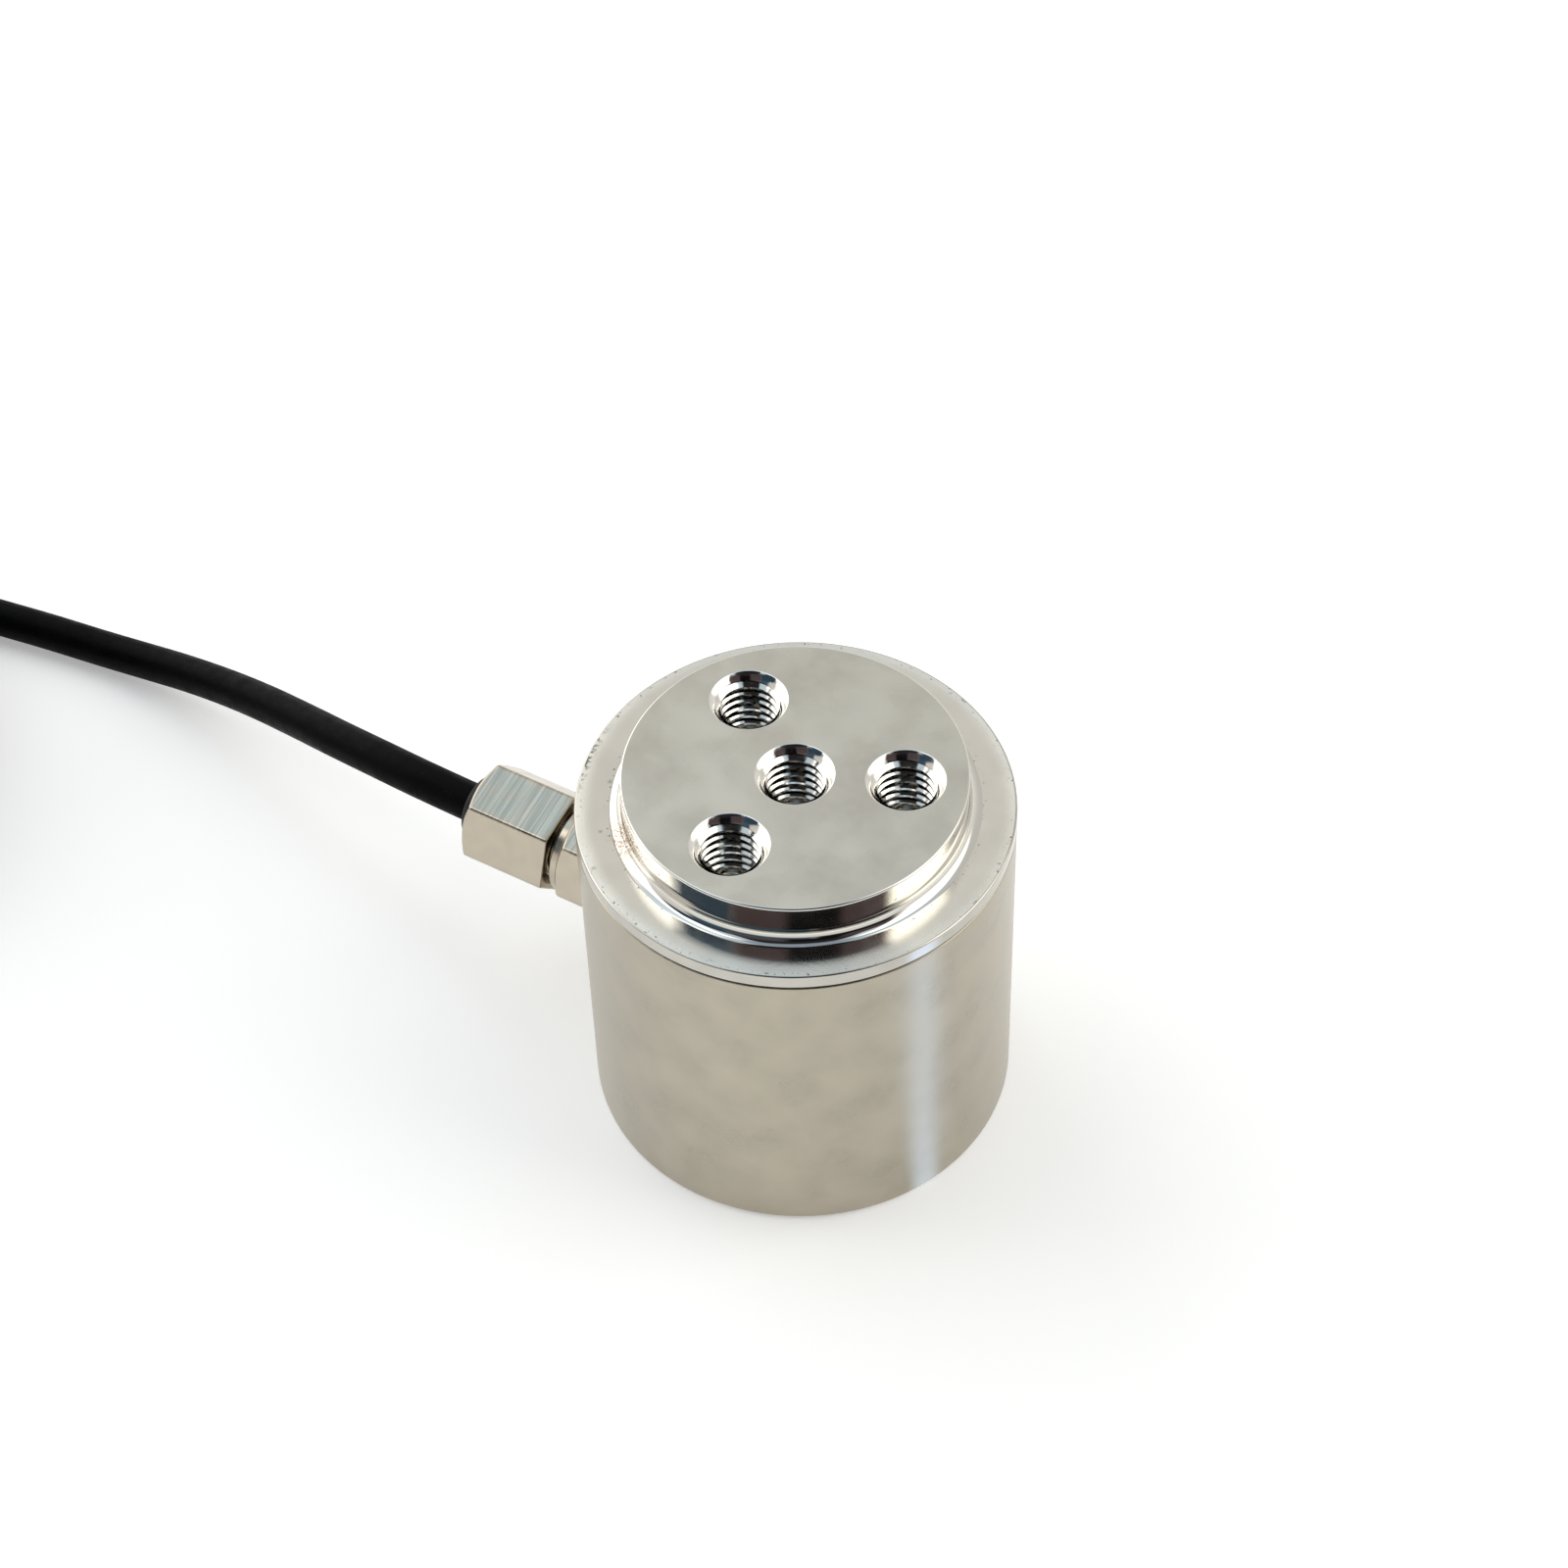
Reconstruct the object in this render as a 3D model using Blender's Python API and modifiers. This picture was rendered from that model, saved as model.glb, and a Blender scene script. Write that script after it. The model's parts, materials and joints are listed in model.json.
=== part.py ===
"""Button load cell with a tapped, coved head, a gauged column inside, and a side cable gland.

Metres, +Z up. The origin is the centre of the base face, and the cable leaves along -X.
A steel load element, turned from one bar, carries the load from its head to its base. A thin
sleeve closes the space round its gauged column, and the bridge's cable leaves through a gland.
"""

import math

import bmesh
import bpy
from mathutils import Matrix, Vector

# Fit between pieces that touch on the real cell
GAP = 0.0003

# Load element
BODY_DIAMETER = 0.0510
BODY_HEIGHT = 0.0467
RIM_WIDTH = 0.0055
HEAD_HEIGHT = 0.0051
HEAD_EDGE = 0.00025
COVE_RADIUS = 0.0015
LIP_HEIGHT = 0.0018
LIP_EDGE = 0.00015
HEAD_BLOCK = 0.0100
BASE_BLOCK = 0.0120
BASE_EDGE = 0.0005
CAVITY_WIDTH = 0.0120
COLUMN_FILLET = 0.0030
COLUMN_FLATS = 4
FLAT_DEPTH = 0.0030
FLAT_RUNOUT = 0.0045
FLAT_ROUNDING = 0.0015

# Tapped M8 holes of the head and the base, one in the middle and three round it
TAP_DRILL = 0.0068
COUNTERSINK_DIAMETER = 0.0092
HOLE_TO_HEAD_EDGE = 0.0073
OUTER_HOLES = 3
HOLE_AZIMUTH = 24.7
HEAD_TAP_DEPTH = 0.0120
BASE_TAP_DEPTH = 0.0085
DRILL_POINT = 118.0
CUTTER_OVERRUN = 0.0010

# Housing sleeve
SLEEVE_WALL = 0.0025
SLEEVE_EDGE = 0.0002
SLEEVE_FOOT_EDGE = 0.0004

# O-rings of the sleeve
RING_SECTION = 0.0016
RING_GROOVE_WIDTH = 0.0023
RING_SHOULDER = 0.0023
BASE_RING_HEIGHT = 0.0038

# Strain-gauge bridge
GAUGE_WIDTH = 0.0070
GAUGE_THICKNESS = 0.0003
GAUGE_TAB = 0.0018
GAUGE_TAB_HEIGHT = 0.0012
FLAT_MARGIN = 0.0010
TERMINAL_WIDTH = 0.0060
TERMINAL_HEIGHT = 0.0020
TERMINAL_THICKNESS = 0.0008
TERMINAL_SPACE = 0.0008
BOARD_THICKNESS = 0.0012
BOARD_BORE_CLEARANCE = 0.0012
BOARD_RIM_CLEARANCE = 0.0015
SPACER_HEIGHT = 0.0012
SPACER_DIAMETER = 0.0040
SPACERS = 3
SPACER_AZIMUTH = 60.0
RESISTOR_LENGTH = 0.0042
RESISTOR_WIDTH = 0.0022
RESISTOR_HEIGHT = 0.0013
RESISTOR_EDGE = 0.0002
RESISTOR_AZIMUTHS = {
    "zero_resistor": 45.0,
    "span_resistor_1": -25.0,
    "span_resistor_2": 25.0,
    "temperature_resistor": -135.0,
}
GAUGE_WIRE = 0.0008

# Cable gland
GLAND_HEIGHT = 0.0205
ACROSS_HEX = 0.0120
HEX_CHAMFER = 30.0
HEX_TURN = -11.0
SPIGOT_DIAMETER = 0.0080
SPIGOT_REACH = 0.0008
WASHER_DIAMETER = 0.0112
WASHER_THICKNESS = 0.0008
BASE_HEX_LENGTH = 0.0050
NECK_LENGTH = 0.0016
NECK_DIAMETER = 0.0094
NECK_INSIDE = 0.0070
NUT_LENGTH = 0.0119
NUT_EXIT_WALL = 0.0023
SEAL_WALL = 0.0011
SEAL_SEAT = 0.0030
SEAL_FLANGE = 0.0009
SEAL_LIP = 0.0006
THRUST_RING = 0.0006

# Cable
CABLE_DIAMETER = 0.0050
CORE_DIAMETER = 0.0009
CORE_CIRCLE = 0.0026
CORE_PITCH = 0.0025
CORE_BEND = 0.0045
SHEATH_INSIDE = 0.0010

# The cable falls from the gland to the floor and runs on to its coil
RUN_POINTS = (
    (-0.0548, 0.0004, 0.0202),
    (-0.0615, 0.0014, 0.0191),
    (-0.0690, 0.0031, 0.0170),
    (-0.0772, 0.0055, 0.0140),
    (-0.0856, 0.0080, 0.0107),
    (-0.0938, 0.0100, 0.0076),
    (-0.1015, 0.0112, 0.0051),
    (-0.1085, 0.0115, 0.0035),
    (-0.1151, 0.0112, 0.0027),
    (-0.1243, 0.0102, 0.0025),
    (-0.1318, 0.0091, 0.0025),
    (-0.1386, 0.0081, 0.0025),
)

# The free end comes up inside the coil and lies on top of it
TAIL_POINTS = (
    (-0.1350, -0.0148, 0.0278),
    (-0.1381, -0.0098, 0.0278),
    (-0.1426, -0.0054, 0.0278),
    (-0.1483, -0.0021, 0.0278),
    (-0.1551, -0.0006, 0.0278),
    (-0.1610, -0.0011, 0.0278),
    (-0.1644, -0.0021, 0.0278),
)
LEAD_LENGTH = 0.0280
LEAD_SPREAD = 0.0022
LEAD_DROP = 0.0080
LEAD_STEPS = 6

# Coil of the rest of the cable, and its tie
COIL_CENTRE = (-0.1526, -0.0243)
COIL_RADIUS = 0.0250
COIL_COLUMNS = 3
COIL_LAYERS = 5
TIE_AZIMUTH = 218.0
TIE_WIDTH = 0.0046
TIE_THICKNESS = 0.0010
TIE_HEAD = 0.0050
TIE_HEAD_LENGTH = 0.0065

# Facets
ROUND_STEPS = 64
RING_STEPS = 48
SMALL_STEPS = 32
HOLE_STEPS = 20
SPACER_STEPS = 16
FILLET_STEPS = 4
SECTION_STEPS = 8
CURVE_STEP = 0.0080

# Places that follow from the sizes
BODY_RADIUS = BODY_DIAMETER / 2
HEAD_RADIUS = BODY_RADIUS - RIM_WIDTH
HOLE_RADIUS = HEAD_RADIUS - HOLE_TO_HEAD_EDGE
TOTAL_HEIGHT = BODY_HEIGHT + HEAD_HEIGHT
CAVITY_CEILING = BODY_HEIGHT - HEAD_BLOCK
LIP_UNDERSIDE = BODY_HEIGHT - LIP_HEIGHT
SLEEVE_BORE_RADIUS = BODY_RADIUS - SLEEVE_WALL
SPIGOT_RADIUS = SLEEVE_BORE_RADIUS - GAP
COLUMN_RADIUS = SLEEVE_BORE_RADIUS - CAVITY_WIDTH
FLAT_DISTANCE = COLUMN_RADIUS - FLAT_DEPTH
FLAT_BOTTOM = BASE_BLOCK + FLAT_RUNOUT
FLAT_TOP = CAVITY_CEILING - FLAT_RUNOUT
TERMINAL_BOTTOM = FLAT_BOTTOM + FLAT_MARGIN
GAUGE_BOTTOM = TERMINAL_BOTTOM + TERMINAL_HEIGHT + TERMINAL_SPACE
GAUGE_TOP = FLAT_TOP - FLAT_MARGIN
BOARD_BOTTOM = BASE_BLOCK + SPACER_HEIGHT + 2 * GAP
BOARD_TOP = BOARD_BOTTOM + BOARD_THICKNESS
HEX_CORNER = ACROSS_HEX / math.sqrt(3)
CABLE_RADIUS = CABLE_DIAMETER / 2
CABLE_BORE = CABLE_RADIUS + GAP
COIL_TOP = COIL_LAYERS * CABLE_DIAMETER
TIE_LIFT = TIE_THICKNESS + GAP

# Stations along the gland, as distances from the cell's axis
SPOT_FACE = math.sqrt(BODY_RADIUS ** 2 - (WASHER_DIAMETER / 2 + GAP) ** 2)
WASHER_START = SPOT_FACE + GAP
BASE_HEX_START = WASHER_START + WASHER_THICKNESS + GAP
BASE_HEX_END = BASE_HEX_START + BASE_HEX_LENGTH
NUT_START = BASE_HEX_END + NECK_LENGTH
NUT_END = NUT_START + NUT_LENGTH
NECK_END = NUT_START + NECK_INSIDE
SEAL_FLANGE_START = NECK_END + GAP
THRUST_START = SEAL_FLANGE_START + SEAL_FLANGE + GAP
NUT_SHOULDER = NUT_END - NUT_EXIT_WALL
SPIGOT_END = SLEEVE_BORE_RADIUS - SPIGOT_REACH
SHEATH_END = SLEEVE_BORE_RADIUS - SHEATH_INSIDE
SEAL_INNER = CABLE_BORE
SEAL_OUTER = SEAL_INNER + SEAL_WALL
NUT_BORE = NECK_DIAMETER / 2 + GAP

COLOURS = {
    "steel": ((0.62, 0.60, 0.56), 0.28, 1.0),
    "steel_satin": ((0.58, 0.56, 0.51), 0.42, 1.0),
    "nickel": ((0.66, 0.65, 0.62), 0.25, 1.0),
    "brass": ((0.72, 0.53, 0.24), 0.35, 1.0),
    "rubber": ((0.018, 0.018, 0.020), 0.70, 0.0),
    "sheath": ((0.014, 0.014, 0.016), 0.55, 0.0),
    "polyimide": ((0.55, 0.28, 0.06), 0.45, 0.0),
    "board": ((0.03, 0.20, 0.08), 0.50, 0.0),
    "nylon": ((0.70, 0.69, 0.64), 0.50, 0.0),
    "resistor": ((0.10, 0.12, 0.30), 0.45, 0.0),
    "red": ((0.55, 0.02, 0.02), 0.45, 0.0),
    "black": ((0.02, 0.02, 0.02), 0.45, 0.0),
    "green": ((0.02, 0.28, 0.06), 0.45, 0.0),
    "white": ((0.75, 0.75, 0.72), 0.45, 0.0),
    "tinned": ((0.70, 0.70, 0.70), 0.35, 1.0),
}
CORE_COLOURS = ("red", "black", "shield", "green", "white")

# Corners of the cable's section that the cores lie in, round the shield drain
CORE_CORNERS = {"red": 225.0, "black": 135.0, "green": 45.0, "white": 315.0}


def clear_scene():
    for obj in list(bpy.data.objects):
        bpy.data.objects.remove(obj, do_unlink=True)


def collection(name, hidden=False):
    made = bpy.data.collections.new(name)
    bpy.context.scene.collection.children.link(made)
    made.hide_render = hidden
    return made


def material(name):
    found = bpy.data.materials.get(name)
    if found:
        return found
    colour, roughness, metallic = COLOURS[name]
    made = bpy.data.materials.new(name)
    made.use_nodes = True
    shader = made.node_tree.nodes["Principled BSDF"]
    shader.inputs["Base Color"].default_value = (*colour, 1.0)
    shader.inputs["Roughness"].default_value = roughness
    shader.inputs["Metallic"].default_value = metallic
    return made


def add(name, data, look=None, matrix=None):
    """An object in the part's collection or, with no look, a cutter."""
    obj = bpy.data.objects.new(name, data)
    if matrix is not None:
        obj.matrix_world = matrix
    if look:
        PARTS.objects.link(obj)
        data.materials.append(material(look))
    else:
        CUTTERS.objects.link(obj)
        obj.hide_render = True
        obj.display_type = "WIRE"
    return obj


def mesh_of(obj):
    """The object's shape with its modifiers, as a mesh of its own."""
    bpy.context.view_layer.update()
    graph = bpy.context.evaluated_depsgraph_get()
    return bpy.data.meshes.new_from_object(obj.evaluated_get(graph))


def finish(obj):
    """Applies the modifiers and shades the round faces smooth."""
    mesh = mesh_of(obj)
    obj.modifiers.clear()
    obj.data = mesh
    mesh.shade_smooth()
    mesh.set_sharp_from_angle(angle=math.radians(32))
    return obj


def turned(name, profile, look=None, steps=ROUND_STEPS, matrix=None, ring=False):
    """A turned solid from (radius, height) points that run down its outer side. A ring's
    profile closes on itself, and any other starts and ends on the axis."""
    mesh = bpy.data.meshes.new(name)
    count = len(profile)
    edges = [(i, i + 1) for i in range(count - 1)]
    if ring:
        edges.append((count - 1, 0))
    mesh.from_pydata([(r, 0.0, z) for r, z in profile], edges, [])
    obj = add(name, mesh, look, matrix)
    screw = obj.modifiers.new("turn", "SCREW")
    screw.steps = steps
    screw.render_steps = steps
    screw.use_merge_vertices = True
    screw.merge_threshold = 0.000001
    obj.data = mesh_of(obj)
    obj.modifiers.clear()
    return obj


def boolean(obj, other, operation="DIFFERENCE"):
    cut = obj.modifiers.new(other.name, "BOOLEAN")
    cut.operation = operation
    cut.object = other
    cut.solver = "EXACT"


def box(name, size, centre, look=None, matrix=None, bevel=0.0):
    mesh = bpy.data.meshes.new(name)
    shape = bmesh.new()
    place = Matrix.Translation(centre) @ Matrix.Diagonal((*size, 1.0))
    bmesh.ops.create_cube(shape, size=1.0, matrix=place)
    shape.to_mesh(mesh)
    shape.free()
    obj = add(name, mesh, look, matrix)
    if bevel:
        rounding = obj.modifiers.new("rounding", "BEVEL")
        rounding.width = bevel
        rounding.segments = 2
    return obj


def arc(centre, radius, start, end, segments):
    """Points of a profile arc, with angles in degrees from +radius towards +height."""
    points = []
    for i in range(segments + 1):
        angle = math.radians(start + (end - start) * i / segments)
        points.append((centre[0] + radius * math.cos(angle), centre[1] + radius * math.sin(angle)))
    return points


def curve_through(points, step):
    """Points about a step apart on a smooth curve through the route's own points."""
    knots = [Vector(p) for p in points]
    knots = [2 * knots[0] - knots[1], *knots, 2 * knots[-1] - knots[-2]]
    made = []
    for i in range(1, len(knots) - 2):
        a, b, c, d = knots[i - 1:i + 3]
        pieces = max(1, round((c - b).length / step))
        for j in range(pieces):
            t = j / pieces
            made.append(0.5 * (2 * b + (c - a) * t + (2 * a - 5 * b + 4 * c - d) * t ** 2
                               + (3 * b - a - 3 * c + d) * t ** 3))
    made.append(knots[-2])
    return made


def tube(name, points, diameter, look, bevel_resolution=2):
    curve = bpy.data.curves.new(name, "CURVE")
    curve.dimensions = "3D"
    curve.bevel_depth = diameter / 2
    curve.bevel_resolution = bevel_resolution
    curve.use_fill_caps = True
    spline = curve.splines.new("POLY")
    spline.points.add(len(points) - 1)
    for point, place in zip(spline.points, points):
        point.co = (*place, 1.0)
    return add(name, curve, look)


def gland_frame():
    """Local +Z runs out along the gland, from the cell's axis towards -X."""
    turn = Matrix.Rotation(math.radians(-90), 4, "Y")
    return Matrix.Translation((0, 0, GLAND_HEIGHT)) @ turn


def flat_frame(azimuth):
    """Local +X runs out from the cell's axis at this azimuth, and local Z stays upright."""
    return Matrix.Rotation(math.radians(azimuth), 4, "Z")


def groove(radius, centre):
    """Profile points of an O-ring groove in a spigot, from its top edge down."""
    half = RING_GROOVE_WIDTH / 2
    floor = SLEEVE_BORE_RADIUS - RING_SECTION - GAP
    return [(radius, centre + half), (floor, centre + half),
            (floor, centre - half), (radius, centre - half)]


def tap_cutter(name, depth, matrix):
    """A countersunk, drilled hole, whose mouth lies at local z = 0."""
    radius = TAP_DRILL / 2
    mouth = COUNTERSINK_DIAMETER / 2
    over = CUTTER_OVERRUN
    point = radius / math.tan(math.radians(DRILL_POINT / 2))
    profile = [(0, over), (mouth + over, over), (radius, radius - mouth),
               (radius, -depth), (0, -depth - point)]
    return turned(name, profile, steps=HOLE_STEPS, matrix=matrix)


def hole_places():
    places = [(0.0, 0.0)]
    for i in range(OUTER_HOLES):
        angle = math.radians(HOLE_AZIMUTH + 360 * i / OUTER_HOLES)
        places.append((HOLE_RADIUS * math.cos(angle), HOLE_RADIUS * math.sin(angle)))
    return places


def upper_ring_height():
    return LIP_UNDERSIDE - RING_SHOULDER - RING_GROOVE_WIDTH / 2


def load_element():
    """Head, cove, rim, gauged column and base, turned from one bar."""
    cove = (HEAD_RADIUS + COVE_RADIUS, BODY_HEIGHT + COVE_RADIUS)
    ceiling = (COLUMN_RADIUS + COLUMN_FILLET, CAVITY_CEILING - COLUMN_FILLET)
    floor = (COLUMN_RADIUS + COLUMN_FILLET, BASE_BLOCK + COLUMN_FILLET)
    profile = [(0, TOTAL_HEIGHT), (HEAD_RADIUS - HEAD_EDGE, TOTAL_HEIGHT),
               (HEAD_RADIUS, TOTAL_HEIGHT - HEAD_EDGE)]
    profile += arc(cove, COVE_RADIUS, 180, 270, FILLET_STEPS)
    profile += [(BODY_RADIUS - LIP_EDGE, BODY_HEIGHT), (BODY_RADIUS, BODY_HEIGHT - LIP_EDGE),
                (BODY_RADIUS, LIP_UNDERSIDE), (SPIGOT_RADIUS, LIP_UNDERSIDE)]
    profile += groove(SPIGOT_RADIUS, upper_ring_height())
    profile += [(SPIGOT_RADIUS, CAVITY_CEILING)]
    profile += arc(ceiling, COLUMN_FILLET, 90, 180, FILLET_STEPS)
    profile += arc(floor, COLUMN_FILLET, 180, 270, FILLET_STEPS)
    profile += [(SPIGOT_RADIUS, BASE_BLOCK)]
    profile += groove(SPIGOT_RADIUS, BASE_RING_HEIGHT)
    profile += [(SPIGOT_RADIUS, BASE_EDGE), (SPIGOT_RADIUS - BASE_EDGE, 0), (0, 0)]
    element = turned("load_element", profile, "steel")
    flat_height = FLAT_TOP - FLAT_BOTTOM
    for i in range(COLUMN_FLATS):
        centre = (FLAT_DISTANCE + COLUMN_RADIUS / 2, 0, FLAT_BOTTOM + flat_height / 2)
        cutter = box(f"flat_cutter_{i + 1}", (COLUMN_RADIUS, 2 * COLUMN_RADIUS, flat_height),
                     centre, matrix=flat_frame(360 * i / COLUMN_FLATS), bevel=FLAT_ROUNDING)
        boolean(element, cutter)
    for i, (x, y) in enumerate(hole_places()):
        up = Matrix.Translation((x, y, TOTAL_HEIGHT))
        down = Matrix.Translation((x, y, 0)) @ Matrix.Rotation(math.pi, 4, "X")
        boolean(element, tap_cutter(f"head_tap_{i + 1}", HEAD_TAP_DEPTH, up))
        boolean(element, tap_cutter(f"base_tap_{i + 1}", BASE_TAP_DEPTH, down))
    finish(element)


def housing_sleeve():
    """Thin tube under the rim's lip, spot-faced and bored for the gland's spigot."""
    top = LIP_UNDERSIDE - GAP
    profile = [(BODY_RADIUS - SLEEVE_EDGE, top), (BODY_RADIUS, top - SLEEVE_EDGE),
               (BODY_RADIUS, GAP + SLEEVE_FOOT_EDGE), (BODY_RADIUS - SLEEVE_FOOT_EDGE, GAP),
               (SLEEVE_BORE_RADIUS + SLEEVE_EDGE, GAP), (SLEEVE_BORE_RADIUS, GAP + SLEEVE_EDGE),
               (SLEEVE_BORE_RADIUS, top)]
    sleeve = turned("housing_sleeve", profile, "steel_satin", ring=True)
    port = SPIGOT_DIAMETER / 2 + GAP
    spot = HEX_CORNER + GAP
    beyond = BODY_RADIUS + SLEEVE_WALL
    inside = SLEEVE_BORE_RADIUS - SLEEVE_WALL
    cutter = turned("port_cutter", [(0, beyond), (spot, beyond), (spot, SPOT_FACE),
                                    (port, SPOT_FACE), (port, inside), (0, inside)],
                    steps=SMALL_STEPS, matrix=gland_frame())
    boolean(sleeve, cutter)
    finish(sleeve)


def o_rings():
    centre = SLEEVE_BORE_RADIUS - (RING_SECTION + GAP) / 2
    radius = (RING_SECTION - GAP) / 2
    for name, height in (("upper_o_ring", upper_ring_height()), ("lower_o_ring", BASE_RING_HEIGHT)):
        section = arc((centre, height), radius, 90, -270, SECTION_STEPS)[:-1]
        finish(turned(name, section, "rubber", steps=RING_STEPS, ring=True))


def gauge_bridge():
    """A foil gauge on each flat of the column, with its solder terminals and leads."""
    inner = FLAT_DISTANCE + GAP
    for i in range(COLUMN_FLATS):
        frame = flat_frame(360 * i / COLUMN_FLATS)
        size = (GAUGE_THICKNESS, GAUGE_WIDTH, GAUGE_TOP - GAUGE_BOTTOM)
        centre = (inner + GAUGE_THICKNESS / 2, 0, (GAUGE_TOP + GAUGE_BOTTOM) / 2)
        gauge = box(f"strain_gauge_{i + 1}", size, centre, "polyimide", frame)
        for side in (-1, 1):
            tab = box(f"gauge_tab_{i + 1}_{side}", (2 * GAUGE_THICKNESS, GAUGE_TAB, GAUGE_TAB),
                      (inner + GAUGE_THICKNESS, side * GAUGE_TAB, GAUGE_BOTTOM + GAUGE_TAB_HEIGHT),
                      matrix=frame)
            boolean(gauge, tab, "UNION")
        finish(gauge)
        size = (TERMINAL_THICKNESS, TERMINAL_WIDTH, TERMINAL_HEIGHT)
        height = TERMINAL_BOTTOM + TERMINAL_HEIGHT / 2
        centre = (inner + TERMINAL_THICKNESS / 2, 0, height)
        finish(box(f"gauge_terminal_{i + 1}", size, centre, "brass", frame))
        start = inner + TERMINAL_THICKNESS + GAP
        landing = COLUMN_RADIUS + COLUMN_FILLET
        bend = COLUMN_RADIUS + GAUGE_WIRE
        route = [(start, 0, height), ((start + bend) / 2, 0, height + GAUGE_WIRE / 4),
                 (bend, 0, height - GAUGE_WIRE / 2),
                 (landing - GAUGE_WIRE / 2, 0, (height + BOARD_TOP) / 2),
                 (landing, 0, BOARD_TOP + GAP)]
        points = [frame @ Vector(p) for p in route]
        finish(as_mesh(tube(f"gauge_lead_{i + 1}", points, GAUGE_WIRE, "tinned")))


def as_mesh(obj):
    """Turns a curve object into a mesh object of the same name, with its caps welded on."""
    mesh = mesh_of(obj)
    name = obj.name
    look = obj.data.materials[0].name
    matrix = obj.matrix_world.copy()
    bpy.data.objects.remove(obj, do_unlink=True)
    shape = bmesh.new()
    shape.from_mesh(mesh)
    bmesh.ops.remove_doubles(shape, verts=shape.verts, dist=0.000001)
    shape.to_mesh(mesh)
    shape.free()
    mesh.materials.clear()
    return add(name, mesh, look, matrix)


def bridge_board():
    """Ring board round the column's foot, on nylon spacers, with the bridge's resistors."""
    inner = COLUMN_RADIUS + BOARD_BORE_CLEARANCE
    outer = SLEEVE_BORE_RADIUS - BOARD_RIM_CLEARANCE
    middle = (COLUMN_RADIUS + COLUMN_FILLET + outer) / 2
    profile = [(outer, BOARD_TOP), (outer, BOARD_BOTTOM), (inner, BOARD_BOTTOM), (inner, BOARD_TOP)]
    finish(turned("bridge_board", profile, "board", steps=RING_STEPS, ring=True))
    for i in range(SPACERS):
        turn = flat_frame(SPACER_AZIMUTH + 360 * i / SPACERS)
        place = turn @ Matrix.Translation((middle, 0, 0))
        spacer = [(0, BOARD_BOTTOM - GAP), (SPACER_DIAMETER / 2, BOARD_BOTTOM - GAP),
                  (SPACER_DIAMETER / 2, BASE_BLOCK + GAP), (0, BASE_BLOCK + GAP)]
        finish(turned(f"board_spacer_{i + 1}", spacer, "nylon", SPACER_STEPS, place))
    size = (RESISTOR_WIDTH, RESISTOR_LENGTH, RESISTOR_HEIGHT)
    centre = (middle, 0, BOARD_TOP + GAP + RESISTOR_HEIGHT / 2)
    for name, azimuth in RESISTOR_AZIMUTHS.items():
        finish(box(name, size, centre, "resistor", flat_frame(azimuth), bevel=RESISTOR_EDGE))


def hexagon(name, start, end):
    """A hexagonal bar along the gland, between two stations."""
    mesh = bpy.data.meshes.new(name)
    shape = bmesh.new()
    place = (Matrix.Translation((0, 0, (start + end) / 2))
             @ Matrix.Rotation(math.radians(HEX_TURN), 4, "Z"))
    bmesh.ops.create_cone(shape, cap_ends=True, segments=6, radius1=HEX_CORNER,
                          radius2=HEX_CORNER, depth=end - start, matrix=place)
    shape.to_mesh(mesh)
    shape.free()
    return mesh


def chamfer_drop(radius):
    """How far the turned chamfer falls from the end face out to the hexagon's corners."""
    return (HEX_CORNER - radius) * math.tan(math.radians(HEX_CHAMFER))


def gland_body():
    """Spigot, hexagon and threaded neck in one piece, bored for the cable."""
    frame = gland_frame()
    body = add("gland_body", hexagon("gland_body", BASE_HEX_START, BASE_HEX_END), "nickel", frame)
    face = ACROSS_HEX / 2 - GAP
    reach = HEX_CORNER + GAP
    envelope = [(0, BASE_HEX_END + GAP), (face, BASE_HEX_END + GAP), (face, BASE_HEX_END),
                (reach, BASE_HEX_END - chamfer_drop(face)), (reach, BASE_HEX_START - GAP),
                (0, BASE_HEX_START - GAP)]
    boolean(body, turned("base_chamfer", envelope, matrix=frame), "INTERSECT")
    spigot = SPIGOT_DIAMETER / 2
    neck = NECK_DIAMETER / 2
    edge = GAP
    core = [(0, NECK_END), (neck - edge, NECK_END), (neck, NECK_END - edge),
            (neck, BASE_HEX_END - GAP), (spigot, BASE_HEX_START + GAP),
            (spigot, SPIGOT_END + edge), (spigot - edge, SPIGOT_END), (0, SPIGOT_END)]
    boolean(body, turned("gland_core", core, steps=SMALL_STEPS, matrix=frame), "UNION")
    seat = SEAL_OUTER + GAP
    bore = [(0, NECK_END + GAP), (seat, NECK_END + GAP), (seat, NECK_END - SEAL_SEAT),
            (CABLE_BORE, NECK_END - SEAL_SEAT - (seat - CABLE_BORE)),
            (CABLE_BORE, SPIGOT_END - GAP), (0, SPIGOT_END - GAP)]
    boolean(body, turned("gland_bore", bore, steps=SMALL_STEPS, matrix=frame))
    finish(body)


def gland_nut():
    """Hexagonal compression nut, chamfered at its cable end."""
    frame = gland_frame()
    nut = add("gland_nut", hexagon("gland_nut", NUT_START, NUT_END), "nickel", frame)
    face = ACROSS_HEX / 2 - GAP
    reach = HEX_CORNER + GAP
    envelope = [(0, NUT_END + GAP), (face, NUT_END + GAP), (face, NUT_END),
                (reach, NUT_END - chamfer_drop(face)), (reach, NUT_START - GAP),
                (0, NUT_START - GAP)]
    boolean(nut, turned("nut_chamfer", envelope, matrix=frame), "INTERSECT")
    exit_hole = SEAL_OUTER + GAP
    bore = [(0, NUT_END + GAP), (exit_hole, NUT_END + GAP), (exit_hole, NUT_SHOULDER),
            (NUT_BORE, NUT_SHOULDER), (NUT_BORE, NUT_START - GAP), (0, NUT_START - GAP)]
    boolean(nut, turned("nut_bore", bore, steps=SMALL_STEPS, matrix=frame))
    finish(nut)


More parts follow.
